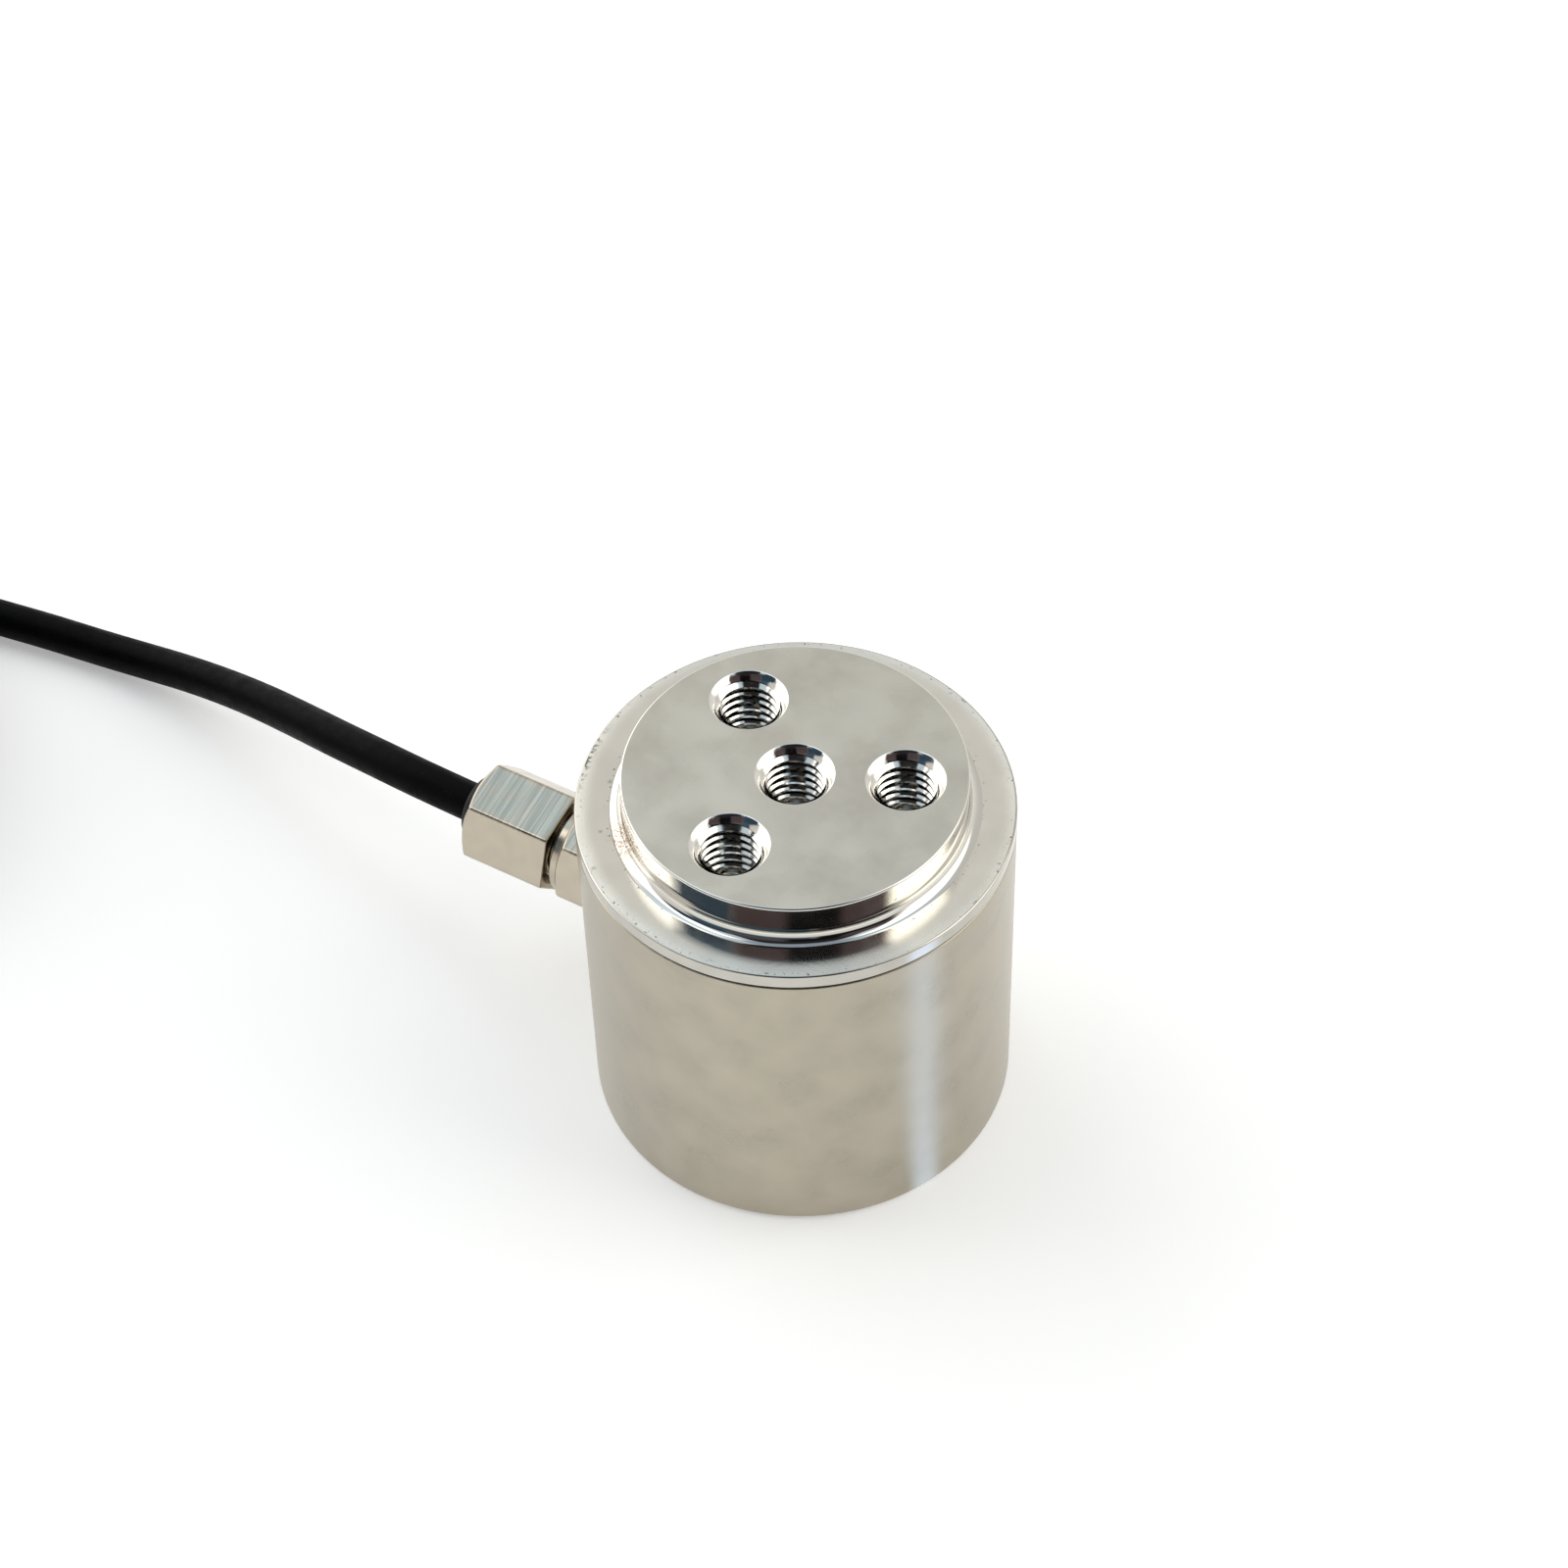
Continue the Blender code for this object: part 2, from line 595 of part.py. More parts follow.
def gland_inner_pieces():
    frame = gland_frame()
    washer = WASHER_DIAMETER / 2
    hole = SPIGOT_DIAMETER / 2 + GAP
    end = WASHER_START + WASHER_THICKNESS
    profile = [(washer, end), (washer, WASHER_START), (hole, WASHER_START), (hole, end)]
    finish(turned("gland_washer", profile, "rubber", SMALL_STEPS, frame, ring=True))
    flange = NECK_DIAMETER / 2
    lip_end = NUT_END + SEAL_LIP
    flange_end = SEAL_FLANGE_START + SEAL_FLANGE
    seat_end = NECK_END - SEAL_SEAT + GAP
    profile = [(SEAL_OUTER - GAP, lip_end), (SEAL_OUTER, lip_end - GAP), (SEAL_OUTER, flange_end),
               (flange, flange_end), (flange, SEAL_FLANGE_START), (SEAL_OUTER, SEAL_FLANGE_START),
               (SEAL_OUTER, seat_end), (SEAL_INNER, seat_end), (SEAL_INNER, lip_end)]
    finish(turned("gland_seal", profile, "rubber", SMALL_STEPS, frame, ring=True))
    hole = SEAL_OUTER + GAP
    end = THRUST_START + THRUST_RING
    profile = [(flange, end), (flange, THRUST_START), (hole, THRUST_START), (hole, end)]
    finish(turned("gland_thrust_ring", profile, "brass", SMALL_STEPS, frame, ring=True))


def inner_cores():
    """The cable's cores and shield drain, from the end of the sheath down to the board."""
    for i, colour in enumerate(CORE_COLOURS):
        start = core_offset(i)
        across = (i - 2) * CORE_PITCH
        x = -SHEATH_END + GAP
        top = GLAND_HEIGHT + start[1]
        knee = (top + BOARD_TOP) / 2
        landing = -(SHEATH_END - CORE_BEND)
        points = [(x, start[0], top), (x + CORE_DIAMETER, start[0], top),
                  (landing - CORE_DIAMETER, (start[0] + across) / 2, (top + knee) / 2),
                  (landing, across, knee), (landing, across, BOARD_TOP + GAP)]
        look = "tinned" if colour == "shield" else colour
        finish(as_mesh(tube(f"core_{colour}", points, CORE_DIAMETER, look)))


def core_offset(index):
    """Where a core lies in the cable's section: the drain in the middle, the rest round it."""
    colour = CORE_COLOURS[index]
    if colour not in CORE_CORNERS:
        return (0.0, 0.0)
    angle = math.radians(CORE_CORNERS[colour])
    return (CORE_CIRCLE / 2 * math.cos(angle), CORE_CIRCLE / 2 * math.sin(angle))


def cable():
    inside = [(-SHEATH_END, 0, GLAND_HEIGHT), (-(BASE_HEX_START + BASE_HEX_END) / 2, 0, GLAND_HEIGHT),
              (-(NUT_START + NUT_END) / 2, 0, GLAND_HEIGHT),
              (-NUT_END - SEAL_LIP, 0, GLAND_HEIGHT)]
    tube("cable_run", curve_through([*inside, *RUN_POINTS], CURVE_STEP), CABLE_DIAMETER, "sheath")
    tube("cable_tail", curve_through(TAIL_POINTS, CURVE_STEP), CABLE_DIAMETER, "sheath")
    leads()
    coil()


def leads():
    """The stripped cores at the free end, which fan out on top of the coil and follow it round."""
    end = Vector(TAIL_POINTS[-1])
    heading = (end - Vector(TAIL_POINTS[-2])).normalized()
    side = Vector((-heading.y, heading.x, 0))
    arm = end.xy - Vector(COIL_CENTRE)
    rest = COIL_TOP + GAP + CORE_DIAMETER / 2
    for i, colour in enumerate(CORE_COLOURS):
        offset = core_offset(i)
        start = end + heading * GAP + side * offset[0] + Vector((0, 0, offset[1]))
        points = [start, start + heading * CORE_DIAMETER]
        for j in range(1, LEAD_STEPS + 1):
            share = j / LEAD_STEPS
            fan = math.sqrt(share)
            radius = arm.length - offset[0] * (1 - fan) + (2 - i) * LEAD_SPREAD * fan
            azimuth = math.atan2(arm.y, arm.x) + LEAD_LENGTH * share / arm.length
            fall = max(0.0, 1 - LEAD_LENGTH * share / LEAD_DROP)
            points.append((COIL_CENTRE[0] + radius * math.cos(azimuth),
                           COIL_CENTRE[1] + radius * math.sin(azimuth),
                           rest + (start.z - rest) * fall))
        look = "tinned" if colour == "shield" else colour
        tube(f"lead_{colour}", curve_through(points, LEAD_LENGTH / LEAD_STEPS), CORE_DIAMETER, look)


def coil():
    """The wound length as one ring, relieved below where its tie passes under it."""
    centre = Matrix.Translation((*COIL_CENTRE, 0))
    half = COIL_COLUMNS * CABLE_DIAMETER / 2
    height = COIL_TOP
    inner = COIL_RADIUS - half
    outer = COIL_RADIUS + half
    round_ = CABLE_RADIUS
    profile = (arc((outer - round_, height - round_), round_, 90, 0, 2)
               + arc((outer - round_, round_), round_, 0, -90, 2)
               + arc((inner + round_, round_), round_, -90, -180, 2)
               + arc((inner + round_, height - round_), round_, 180, 90, 2))
    ring = turned("cable_coil", profile, "sheath", RING_STEPS, centre, ring=True)
    frame = centre @ Matrix.Rotation(math.radians(TIE_AZIMUTH), 4, "Z")
    depth = TIE_LIFT
    notch = box("tie_notch", (2 * half + 4 * depth, TIE_WIDTH + 2 * GAP, 2 * depth),
                (COIL_RADIUS, 0, 0), matrix=frame)
    boolean(ring, notch)
    finish(ring)
    top = height + TIE_LIFT + GAP + TIE_THICKNESS
    wide = 2 * (half + depth)
    tie = box("cable_tie", (wide, TIE_WIDTH, top), (COIL_RADIUS, 0, top / 2), "nylon", frame)
    hollow_height = top - 2 * TIE_THICKNESS
    hollow = box("tie_hollow", (wide - 2 * TIE_THICKNESS, 2 * TIE_WIDTH, hollow_height),
                 (COIL_RADIUS, 0, TIE_THICKNESS + hollow_height / 2), matrix=frame)
    boolean(tie, hollow)
    head_place = (outer + depth, 0, top / 2)
    head = box("tie_head", (TIE_HEAD - 2 * GAP, TIE_HEAD_LENGTH, TIE_HEAD), head_place,
               matrix=frame)
    clear = box("tie_head_clear", (2 * depth, 2 * TIE_HEAD, 2 * TIE_HEAD),
                (outer + GAP - depth, 0, top / 2), matrix=frame)
    boolean(head, clear)
    boolean(tie, head, "UNION")
    finish(tie)


clear_scene()
PARTS = collection("button_load_cell")
CUTTERS = collection("cutters", hidden=True)
load_element()
housing_sleeve()
o_rings()
gauge_bridge()
bridge_board()
gland_body()
gland_nut()
gland_inner_pieces()
inner_cores()
cable()
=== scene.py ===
"""Button load cell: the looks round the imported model.

Metres, +Z up. The origin is the centre of the base face, and the cable leaves along -X. Fine
turned, threaded and swept meshes stand for the solids that show, and the pieces inside keep
their solids. Every piece has a material with noise and bump.
"""

import functools
import json
import math

import bmesh
import bpy
from mathutils import Matrix, Vector


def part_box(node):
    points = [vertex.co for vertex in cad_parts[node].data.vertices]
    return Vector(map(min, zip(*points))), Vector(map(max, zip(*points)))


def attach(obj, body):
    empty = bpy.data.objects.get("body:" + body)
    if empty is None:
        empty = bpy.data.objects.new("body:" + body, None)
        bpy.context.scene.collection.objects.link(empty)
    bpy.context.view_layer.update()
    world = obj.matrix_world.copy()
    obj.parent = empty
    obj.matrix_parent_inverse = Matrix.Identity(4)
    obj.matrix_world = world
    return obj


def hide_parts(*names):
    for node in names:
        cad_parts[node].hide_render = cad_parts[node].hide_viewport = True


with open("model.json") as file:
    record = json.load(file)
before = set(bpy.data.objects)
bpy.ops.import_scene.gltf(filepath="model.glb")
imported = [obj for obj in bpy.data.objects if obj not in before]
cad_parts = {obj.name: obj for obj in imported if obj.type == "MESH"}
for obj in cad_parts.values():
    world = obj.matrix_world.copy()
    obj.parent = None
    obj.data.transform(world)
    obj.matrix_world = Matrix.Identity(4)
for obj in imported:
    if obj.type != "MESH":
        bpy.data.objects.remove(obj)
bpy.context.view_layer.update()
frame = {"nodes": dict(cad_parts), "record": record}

# Camera: where it stands, what it looks at and how far it is rolled
CAMERA_PLACE = Vector((0.1479, -0.2445, 0.3781))
CAMERA_TARGET = Vector((-0.0003, -0.0019, 0.0518))
CAMERA_ROLL = -1.92
CAMERA_LENS = 87.44
CAMERA_SENSOR = 36.0

# Clearance and overlap of pieces that belong together
FIT = 0.0003

# Load element
BODY_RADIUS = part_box("load_element")[1].x
TOTAL_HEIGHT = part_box("load_element")[1].z
HEAD_RADIUS = 0.0200
HEAD_HEIGHT = 0.0051
HEAD_EDGE = 0.00025
COVE_RADIUS = 0.0015
LIP_HEIGHT = 0.0018
LIP_EDGE = 0.00015
LIP_ROUNDING = 0.00025
HEAD_BLOCK = 0.0100
BASE_BLOCK = 0.0120
BASE_EDGE = 0.0005
COLUMN_RADIUS = 0.0110
COLUMN_FILLET = 0.0030
COLUMN_FLATS = 4
FLAT_DEPTH = 0.0030
FLAT_RUNOUT = 0.0045
FLAT_ROUNDING = 0.0015
BODY_HEIGHT = TOTAL_HEIGHT - HEAD_HEIGHT
LIP_UNDERSIDE = BODY_HEIGHT - LIP_HEIGHT
CAVITY_CEILING = BODY_HEIGHT - HEAD_BLOCK

# Tapped M8 holes of the head and the base, angles in degrees
THREAD_PITCH = 0.00125
THREAD_CREST = 0.0033235
THREAD_ROOT = 0.0040
THREAD_CORE = 0.0032
THREAD_FLANK = 30.0
THREAD_LIFT = 1.5 * THREAD_PITCH
THREAD_SHORT = 0.0022
COUNTERSINK_RADIUS = 0.0046
MOUTH_BREAK = 0.00005
MOUTH_SLOPE = 22.0
TAP_DRILL_RADIUS = 0.0034
DRILL_POINT = 118.0
DRILL_TIP = 0.0001
HOLE_RADIUS = 0.0127
HOLE_AZIMUTH = 24.7
OUTER_HOLES = 3
HEAD_TAP_DEPTH = 0.0120
BASE_TAP_DEPTH = 0.0085
CUTTER_OVERRUN = 0.0010

# Housing sleeve and its O-ring grooves
SLEEVE_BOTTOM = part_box("housing_sleeve")[0].z
SLEEVE_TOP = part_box("housing_sleeve")[1].z
SLEEVE_BORE_RADIUS = 0.0230
SPIGOT_RADIUS = 0.0227
SLEEVE_EDGE = 0.0002
SLEEVE_FOOT_EDGE = 0.0004
RING_GROOVE_WIDTH = 0.0023
RING_GROOVE_FLOOR = 0.0211
RING_SHOULDER = 0.0023
BASE_RING_HEIGHT = 0.0038
UPPER_RING_HEIGHT = LIP_UNDERSIDE - RING_SHOULDER - RING_GROOVE_WIDTH / 2

# Cable gland, with stations as distances from the cell's axis
GLAND_HEIGHT = 0.0205
ACROSS_HEX = 0.0120
HEX_SIDES = 6
HEX_HALF_SIDE = 180.0 / HEX_SIDES
HEX_CORNER = ACROSS_HEX / math.sqrt(3)
HEX_CHAMFER = 30.0
HEX_TURN = -11.0
HEX_FACE = 0.0057
HEX_ROUNDING = 0.00065
HEX_BREAK = 0.00025
HEX_BREAK_LIMIT = 32.0
SPOT_FACE = -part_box("gland_washer")[1].x - FIT
SPOT_RADIUS = HEX_CORNER + FIT
PORT_RADIUS = 0.0043
BASE_HEX_LENGTH = 0.0050
BASE_HEX_START = -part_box("gland_washer")[0].x + FIT
BASE_HEX_END = BASE_HEX_START + BASE_HEX_LENGTH
NUT_START = -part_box("gland_nut")[1].x
NUT_END = -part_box("gland_nut")[0].x
NUT_LIP = 0.0023
NUT_SHOULDER = NUT_END - NUT_LIP
NUT_BORE = 0.0050
NECK_REACH = 0.0070
NECK_END = NUT_START + NECK_REACH
NECK_RADIUS = 0.0047
NECK_COLLAR = 0.0056
NECK_GAP = 0.0006
NECK_PITCH = 0.0010
NECK_DEPTH = 0.0005
NECK_LAND = 0.15 * NECK_PITCH
SPIGOT_END = -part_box("gland_body")[1].x
GLAND_SPIGOT_RADIUS = 0.0040
SEAL_SEAT = 0.0030
SEAL_INNER = 0.0028
SEAL_OUTER = 0.0039
SEAL_FLANGE_START = NECK_END + FIT
SEAL_FLANGE = 0.0009
SEAL_LIP = 0.0014

# Cable, with the route's own points from the gland to the coil
CABLE_DIAMETER = 0.0050
CABLE_STEP = 0.0020
CABLE_SIDES = 24
CABLE_EXIT = (-0.0453, 0.0, GLAND_HEIGHT)
GLAND_POINTS = (
    (-0.0220, 0.0, GLAND_HEIGHT),
    (-0.0287, 0.0, GLAND_HEIGHT),
    (-0.0388, 0.0, GLAND_HEIGHT),
    CABLE_EXIT,
)
RUN_POINTS = (
    (-0.0548, 0.0004, 0.0202),
    (-0.0615, 0.0014, 0.0191),
    (-0.0690, 0.0031, 0.0170),
    (-0.0772, 0.0055, 0.0140),
    (-0.0856, 0.0080, 0.0107),
    (-0.0938, 0.0100, 0.0076),
    (-0.1015, 0.0112, 0.0051),
    (-0.1085, 0.0115, 0.0035),
    (-0.1151, 0.0112, 0.0027),
    (-0.1243, 0.0102, 0.0025),
    (-0.1318, 0.0091, 0.0025),
    (-0.1386, 0.0081, 0.0025),
)

# The free end comes up inside the coil and lies on top of it
TAIL_POINTS = (
    (-0.1350, -0.0148, 0.0278),
    (-0.1381, -0.0098, 0.0278),
    (-0.1426, -0.0054, 0.0278),
    (-0.1483, -0.0021, 0.0278),
    (-0.1551, -0.0006, 0.0278),
    (-0.1610, -0.0011, 0.0278),
    (-0.1644, -0.0021, 0.0278),
)

# Cores at the free end, fanned out from the middle one
CORE_DIAMETER = 0.0009
CORE_SIDES = 16
CORE_CIRCLE = 0.0026
CORE_COLOURS = ("red", "black", "shield", "green", "white")
CORE_CORNERS = {"red": 225.0, "black": 135.0, "green": 45.0, "white": 315.0}
MIDDLE_CORE = len(CORE_COLOURS) // 2
LEAD_LENGTH = 0.0280
LEAD_SPREAD = 0.0022
LEAD_DROP = 0.0080
LEAD_STEPS = 6
LEAD_STEP = 0.0008
STRIPPED = 0.0050
STRAND_RADIUS = 0.00028
STRAND_OVERLAP = 2

# Coil, wound in flat layers that run in and out by turns, with its arcs in degrees
COIL_CENTRE = (-0.1526, -0.0243)
COIL_INNER = 0.0200
COIL_OUTER = 0.0300
COIL_LAYERS = 5
COIL_TOP = COIL_LAYERS * CABLE_DIAMETER
LAYER_TURNS = 2
LAYER_ARC = 360.0 * LAYER_TURNS
RISE_ARC = 130.0
WINDING_STEP = 6.0

# Share of the winding that its points take, a hair short of the whole
WINDING_SHARE = 1 - 1e-9

# Tie round the coil, with its arcs in degrees
TIE_AZIMUTH = 218.0
TIE_THICKNESS = 0.0010
TIE_WIDTH = 0.0046
TIE_LIFT = TIE_THICKNESS + FIT
TIE_LIFT_ARC = 45.0
TIE_SIDE_ARC = 90.0
TIE_SLACK = 0.0001
TIE_STEPS = 90
TIE_HEAD = 0.0050
TIE_HEAD_LENGTH = 0.0065
TIE_HEAD_ROUNDING = 0.0005
TIE_EDGE = 0.00012
TIE_EDGE_LIMIT = 50.0

# Rust stain on the left of the head, where its wall meets the cove
STAIN_PLACE = (-0.0142, -0.0146, 0.0482)
STAIN_REACH = 0.0060
STAIN_COLOUR = (0.24, 0.14, 0.07)

# Wear of the flat ring: its turning marks, how far in from each edge the nicks lie, the notched
# stretch of its outer edge, and dark specks as place and reach, with their share of the tone
RING_LINES = 0.00016
RING_OUTER_WEAR = (0.0012, 0.0002)
RING_INNER_WEAR = 0.0008
RING_WORN_COLOUR = (0.16, 0.15, 0.14)
NOTCH_PLACE = (-0.0245, -0.0055, BODY_HEIGHT)
NOTCH_REACH = 0.0075
RING_SPECK_TONE = 0.45
RING_SPECKS = (
    (-0.0204, -0.0075, 0.00050),
    (-0.0174, -0.0145, 0.00040),
    (-0.0152, -0.0195, 0.00045),
)

# How far under a hexagon's flat its tool lines and painted glints start, and where they are full
TOP_FLAT_SKIN = (0.0003, 0.0001)

# Values that most of a noise lies between, for wide and for strong clouds
NOISE_WIDE = (0.2, 0.8)
NOISE_USUAL = (0.3, 0.7)

# Facets of the turned and cut meshes
BODY_STEPS = 256
HOLE_STEPS = 96
BASE_HOLE_STEPS = 48
GLAND_STEPS = 96

# Degrees between faces from which an edge stays crisp, on these meshes and on the kept solids
CREASE = 30.0
SOLID_CREASE = 32.0

# Room light as patches of the sky: azimuths from and to, counted from the camera's, then
# elevations from and to, softness of the edges, all in degrees, and colour
SKY_HORIZON = (0.90, 0.89, 0.86)
SKY_MIDDLE = (0.68, 0.67, 0.64)
SKY_ZENITH = (0.60, 0.72, 0.82)
MIDDLE_RISE = (0.0, 45.0)
ZENITH_RISE = (50.0, 68.0)
SKY_PATCHES = (
    (64.0, 116.0, 18.0, 62.0, 6.0, (2.3, 2.24, 2.02)),
    (-180.0, 180.0, 75.0, 105.0, 5.0, (0.30, 0.36, 0.43)),
    (68.0, 116.0, 53.0, 76.0, 4.0, (2.1, 2.1, 2.05)),
    (-163.0, -92.0, 8.0, 54.0, 4.0, (2.1, 2.1, 2.02)),
    (-116.0, -76.0, 53.0, 76.0, 4.0, (2.1, 2.1, 2.05)),
    (-182.0, -134.0, 58.0, 74.0, 5.0, (0.84, 1.10, 1.32)),
    (-89.0, -45.0, 39.0, 57.0, 2.0, (0.032, 0.060, 0.095)),
    (-66.0, 8.0, 22.0, 42.0, 4.0, (0.055, 0.095, 0.13)),
    (8.0, 57.0, 22.0, 42.0, 4.0, (0.012, 0.010, 0.010)),
    (-46.0, 62.0, 40.0, 57.0, 3.0, (0.088, 0.062, 0.068)),
    (-9.0, 28.0, 36.0, 60.0, 5.0, (0.006, 0.005, 0.006)),
    (-46.0, 46.0, 55.0, 77.0, 4.0, (0.020, 0.018, 0.020)),
)
BACKDROP = (1.0, 1.0, 1.0)

# Floor: its own colour, its glow, and the brighter strip that the wall mirrors
FLOOR_HALF_SIDE = 4.0
FLOOR_DROP = 0.00005
FLOOR_COLOUR = (0.82, 0.82, 0.82)
FLOOR_ROUGHNESS = 0.9
FLOOR_GLOW = (0.36, 0.36, 0.36)
STRIP_APEX = (0.0126, -0.0124, 0.0)
STRIP_AZIMUTH = 8.4
STRIP_HALF_WIDTH = 7.5
STRIP_SOFT = 5.0
STRIP_LENGTH = 0.065
STRIP_END = 1.3 * STRIP_LENGTH
STRIP_GLOW = (0.75, 0.95, 1.30)


def smooth(share):
    share = min(1.0, max(0.0, share))
    return share * share * (3 - 2 * share)


# Materials

class Nodes:
    """Short ways to add nodes to the tree of a material or of the world."""

    def __init__(self, tree):
        self.tree = tree

    def link(self, value, socket):
        if isinstance(value, bpy.types.NodeSocket):
            self.tree.links.new(value, socket)
        else:
            socket.default_value = value

    def node(self, kind, inputs=(), **settings):
        """A node with its settings, and its inputs as pairs of key and value or socket."""
        made = self.tree.nodes.new(kind)
        for key, value in settings.items():
            setattr(made, key, value)
        for key, value in inputs:
            self.link(value, made.inputs[key])
        return made

    def maths(self, operation, *values):
        return self.node("ShaderNodeMath", enumerate(values), operation=operation).outputs[0]

    def vector(self, operation, *values):
        return self.node("ShaderNodeVectorMath", enumerate(values), operation=operation).outputs

    def spread(self, value, low, high, to_low=0.0, to_high=1.0):
        """Brings the stretch from low to high softly to another one."""
        return self.node("ShaderNodeMapRange",
                         (("Value", value), ("From Min", low), ("From Max", high),
                          ("To Min", to_low), ("To Max", to_high)),
                         interpolation_type="SMOOTHSTEP").outputs[0]

    def band(self, off, half, soft):
        """One where a value is nearer to zero than half, with soft edges."""
        return self.spread(self.maths("ABSOLUTE", off), half - soft, half + soft, 1.0, 0.0)

    def mix(self, share, first, second):
        first, second = (colour if isinstance(colour, bpy.types.NodeSocket) else (*colour, 1.0)
                         for colour in (first, second))
        return self.node("ShaderNodeMix", ((0, share), (6, first), (7, second)),
                         data_type="RGBA").outputs[2]

    def parts(self, direction):
        return self.node("ShaderNodeSeparateXYZ", ((0, direction),)).outputs

    def azimuth(self, direction):
        """Degrees round +Z from +X."""
        parts = self.parts(direction)
        return self.maths("DEGREES", self.maths("ARCTAN2", parts["Y"], parts["X"]))


class Look(Nodes):
    """A material of the Principled shader."""

    def __init__(self, name, colour, roughness, metallic=0.0, **constants):
        self.material = bpy.data.materials.new(name)
        self.material.use_nodes = True
        super().__init__(self.material.node_tree)
        self.shader = self.tree.nodes["Principled BSDF"]
        self.shader.inputs["Base Color"].default_value = (*colour, 1.0)
        self.shader.inputs["Roughness"].default_value = roughness
        self.shader.inputs["Metallic"].default_value = metallic
        for socket, value in constants.items():
            self.shader.inputs[socket.replace("_", " ")].default_value = value
        self.place = self.node("ShaderNodeTexCoord").outputs["Object"]

    def stretched(self, scale):
        return self.node("ShaderNodeMapping",
                         (("Vector", self.place), ("Scale", scale))).outputs[0]

    def noise(self, size, detail, roughness=0.5, place=None):
        """Noise whose features are about this many metres across."""
        return self.node("ShaderNodeTexNoise",
                         (("Vector", place or self.place), ("Scale", 1 / size),
                          ("Detail", detail), ("Roughness", roughness))).outputs["Fac"]

    def along(self, direction):
        """How far a place lies in a direction."""
        return self.vector("DOT_PRODUCT", self.place, direction)["Value"]

    def radius(self):
        """Distance from the cell's axis."""
        flat = self.vector("MULTIPLY", self.place, (1.0, 1.0, 0.0))[0]
        return self.vector("LENGTH", flat)["Value"]

    def near(self, point, reach):
        """One at a point, falling to nothing at this distance from it."""
        away = self.vector("DISTANCE", self.place, point)["Value"]
        return self.spread(away, 0.0, reach, 1.0, 0.0)

    def set_colour(self, value):
        self.link(value, self.shader.inputs["Base Color"])

    def set_roughness(self, value):
        self.link(value, self.shader.inputs["Roughness"])

    def set_bump(self, height, distance):
        made = self.node("ShaderNodeBump",
                         (("Strength", 1.0), ("Distance", distance), ("Height", height)))
        self.link(made.outputs[0], self.shader.inputs["Normal"])

    def brushed_across(self, amount):
        """Spreads highlights across fine turning marks that run round the axis."""
        tangent = self.node("ShaderNodeTangent", direction_type="RADIAL", axis="Z")
        self.link(tangent.outputs[0], self.shader.inputs["Tangent"])
        self.shader.inputs["Anisotropic"].default_value = amount
        self.shader.inputs["Anisotropic Rotation"].default_value = 0.25


def shade(colour, factor):
    return tuple(min(1.0, channel * factor) for channel in colour)


def blotchy(look, colour, size, depth):
    """Soft clouds of lighter and darker tone over a face: the clouds and the tone."""
    clouds = look.noise(size, detail=2.0, roughness=0.4)
    toned = look.mix(look.spread(clouds, *NOISE_WIDE), shade(colour, 1 - depth),
                     shade(colour, 1 + depth))
    return clouds, toned


def clouded(look, colour, size, depth, low, high):
    """Clouds of tone, with a roughness from low to high in them."""
    clouds, toned = blotchy(look, colour, size, depth)
    look.set_colour(toned)
    look.set_roughness(look.spread(clouds, *NOISE_USUAL, low, high))


def flecked(look, colour, size, depth, fleck, light, low, high):
    """Clouds of tone and roughness, with finer and lighter flecks."""
    clouds, toned = blotchy(look, colour, size, depth)
    flecks = look.spread(look.noise(fleck, 2.0), *NOISE_WIDE, 0.0, 0.4)
    look.set_colour(look.mix(flecks, toned, shade(colour, light)))
    look.set_roughness(look.spread(clouds, *NOISE_WIDE, low, high))


def steel_face():
    """The head's top and the underside of the base."""
    colour = (0.635, 0.612, 0.545)
    look = Look("steel_face", colour, 0.27, 1.0)
    flecked(look, colour, size=0.0055, depth=0.08, fleck=0.0012, light=1.06, low=0.23, high=0.31)
    look.set_bump(look.noise(0.0016, 1.0), 0.000003)
    return look.material


def steel_satin():
    """The sleeve's satin wall. Its warm, dark base colour is a painted reflection of a beige table.
    """
    # Warm and dark: painted reflection of a beige table, not the steel's own grey
    colour = (0.435, 0.395, 0.32)
    look = Look("steel_satin", colour, 0.3, 1.0)
    flecked(look, colour, size=0.0060, depth=0.11, fleck=0.0018, light=1.08, low=0.26, high=0.34)
    look.set_bump(look.noise(0.0016, 1.0, place=look.stretched((1.0, 1.0, 2.0))), 0.000003)
    look.brushed_across(0.45)
    return look.material


def steel_polish():
    """The head's wall and its cove, with the stain."""
    colour = (0.72, 0.70, 0.66)
    look = Look("steel_polish", colour, 0.05, 1.0)
    ripple = look.noise(0.0045, 1.5)
    look.set_roughness(look.spread(ripple, *NOISE_USUAL, 0.03, 0.08))
    rust = look.spread(look.noise(0.00030, 3.0, 0.7), 0.44, 0.56)
    stain = look.maths("MULTIPLY", look.near(STAIN_PLACE, STAIN_REACH), rust)
    look.set_colour(look.mix(stain, colour, STAIN_COLOUR))
    look.set_bump(ripple, 0.00003)
    return look.material


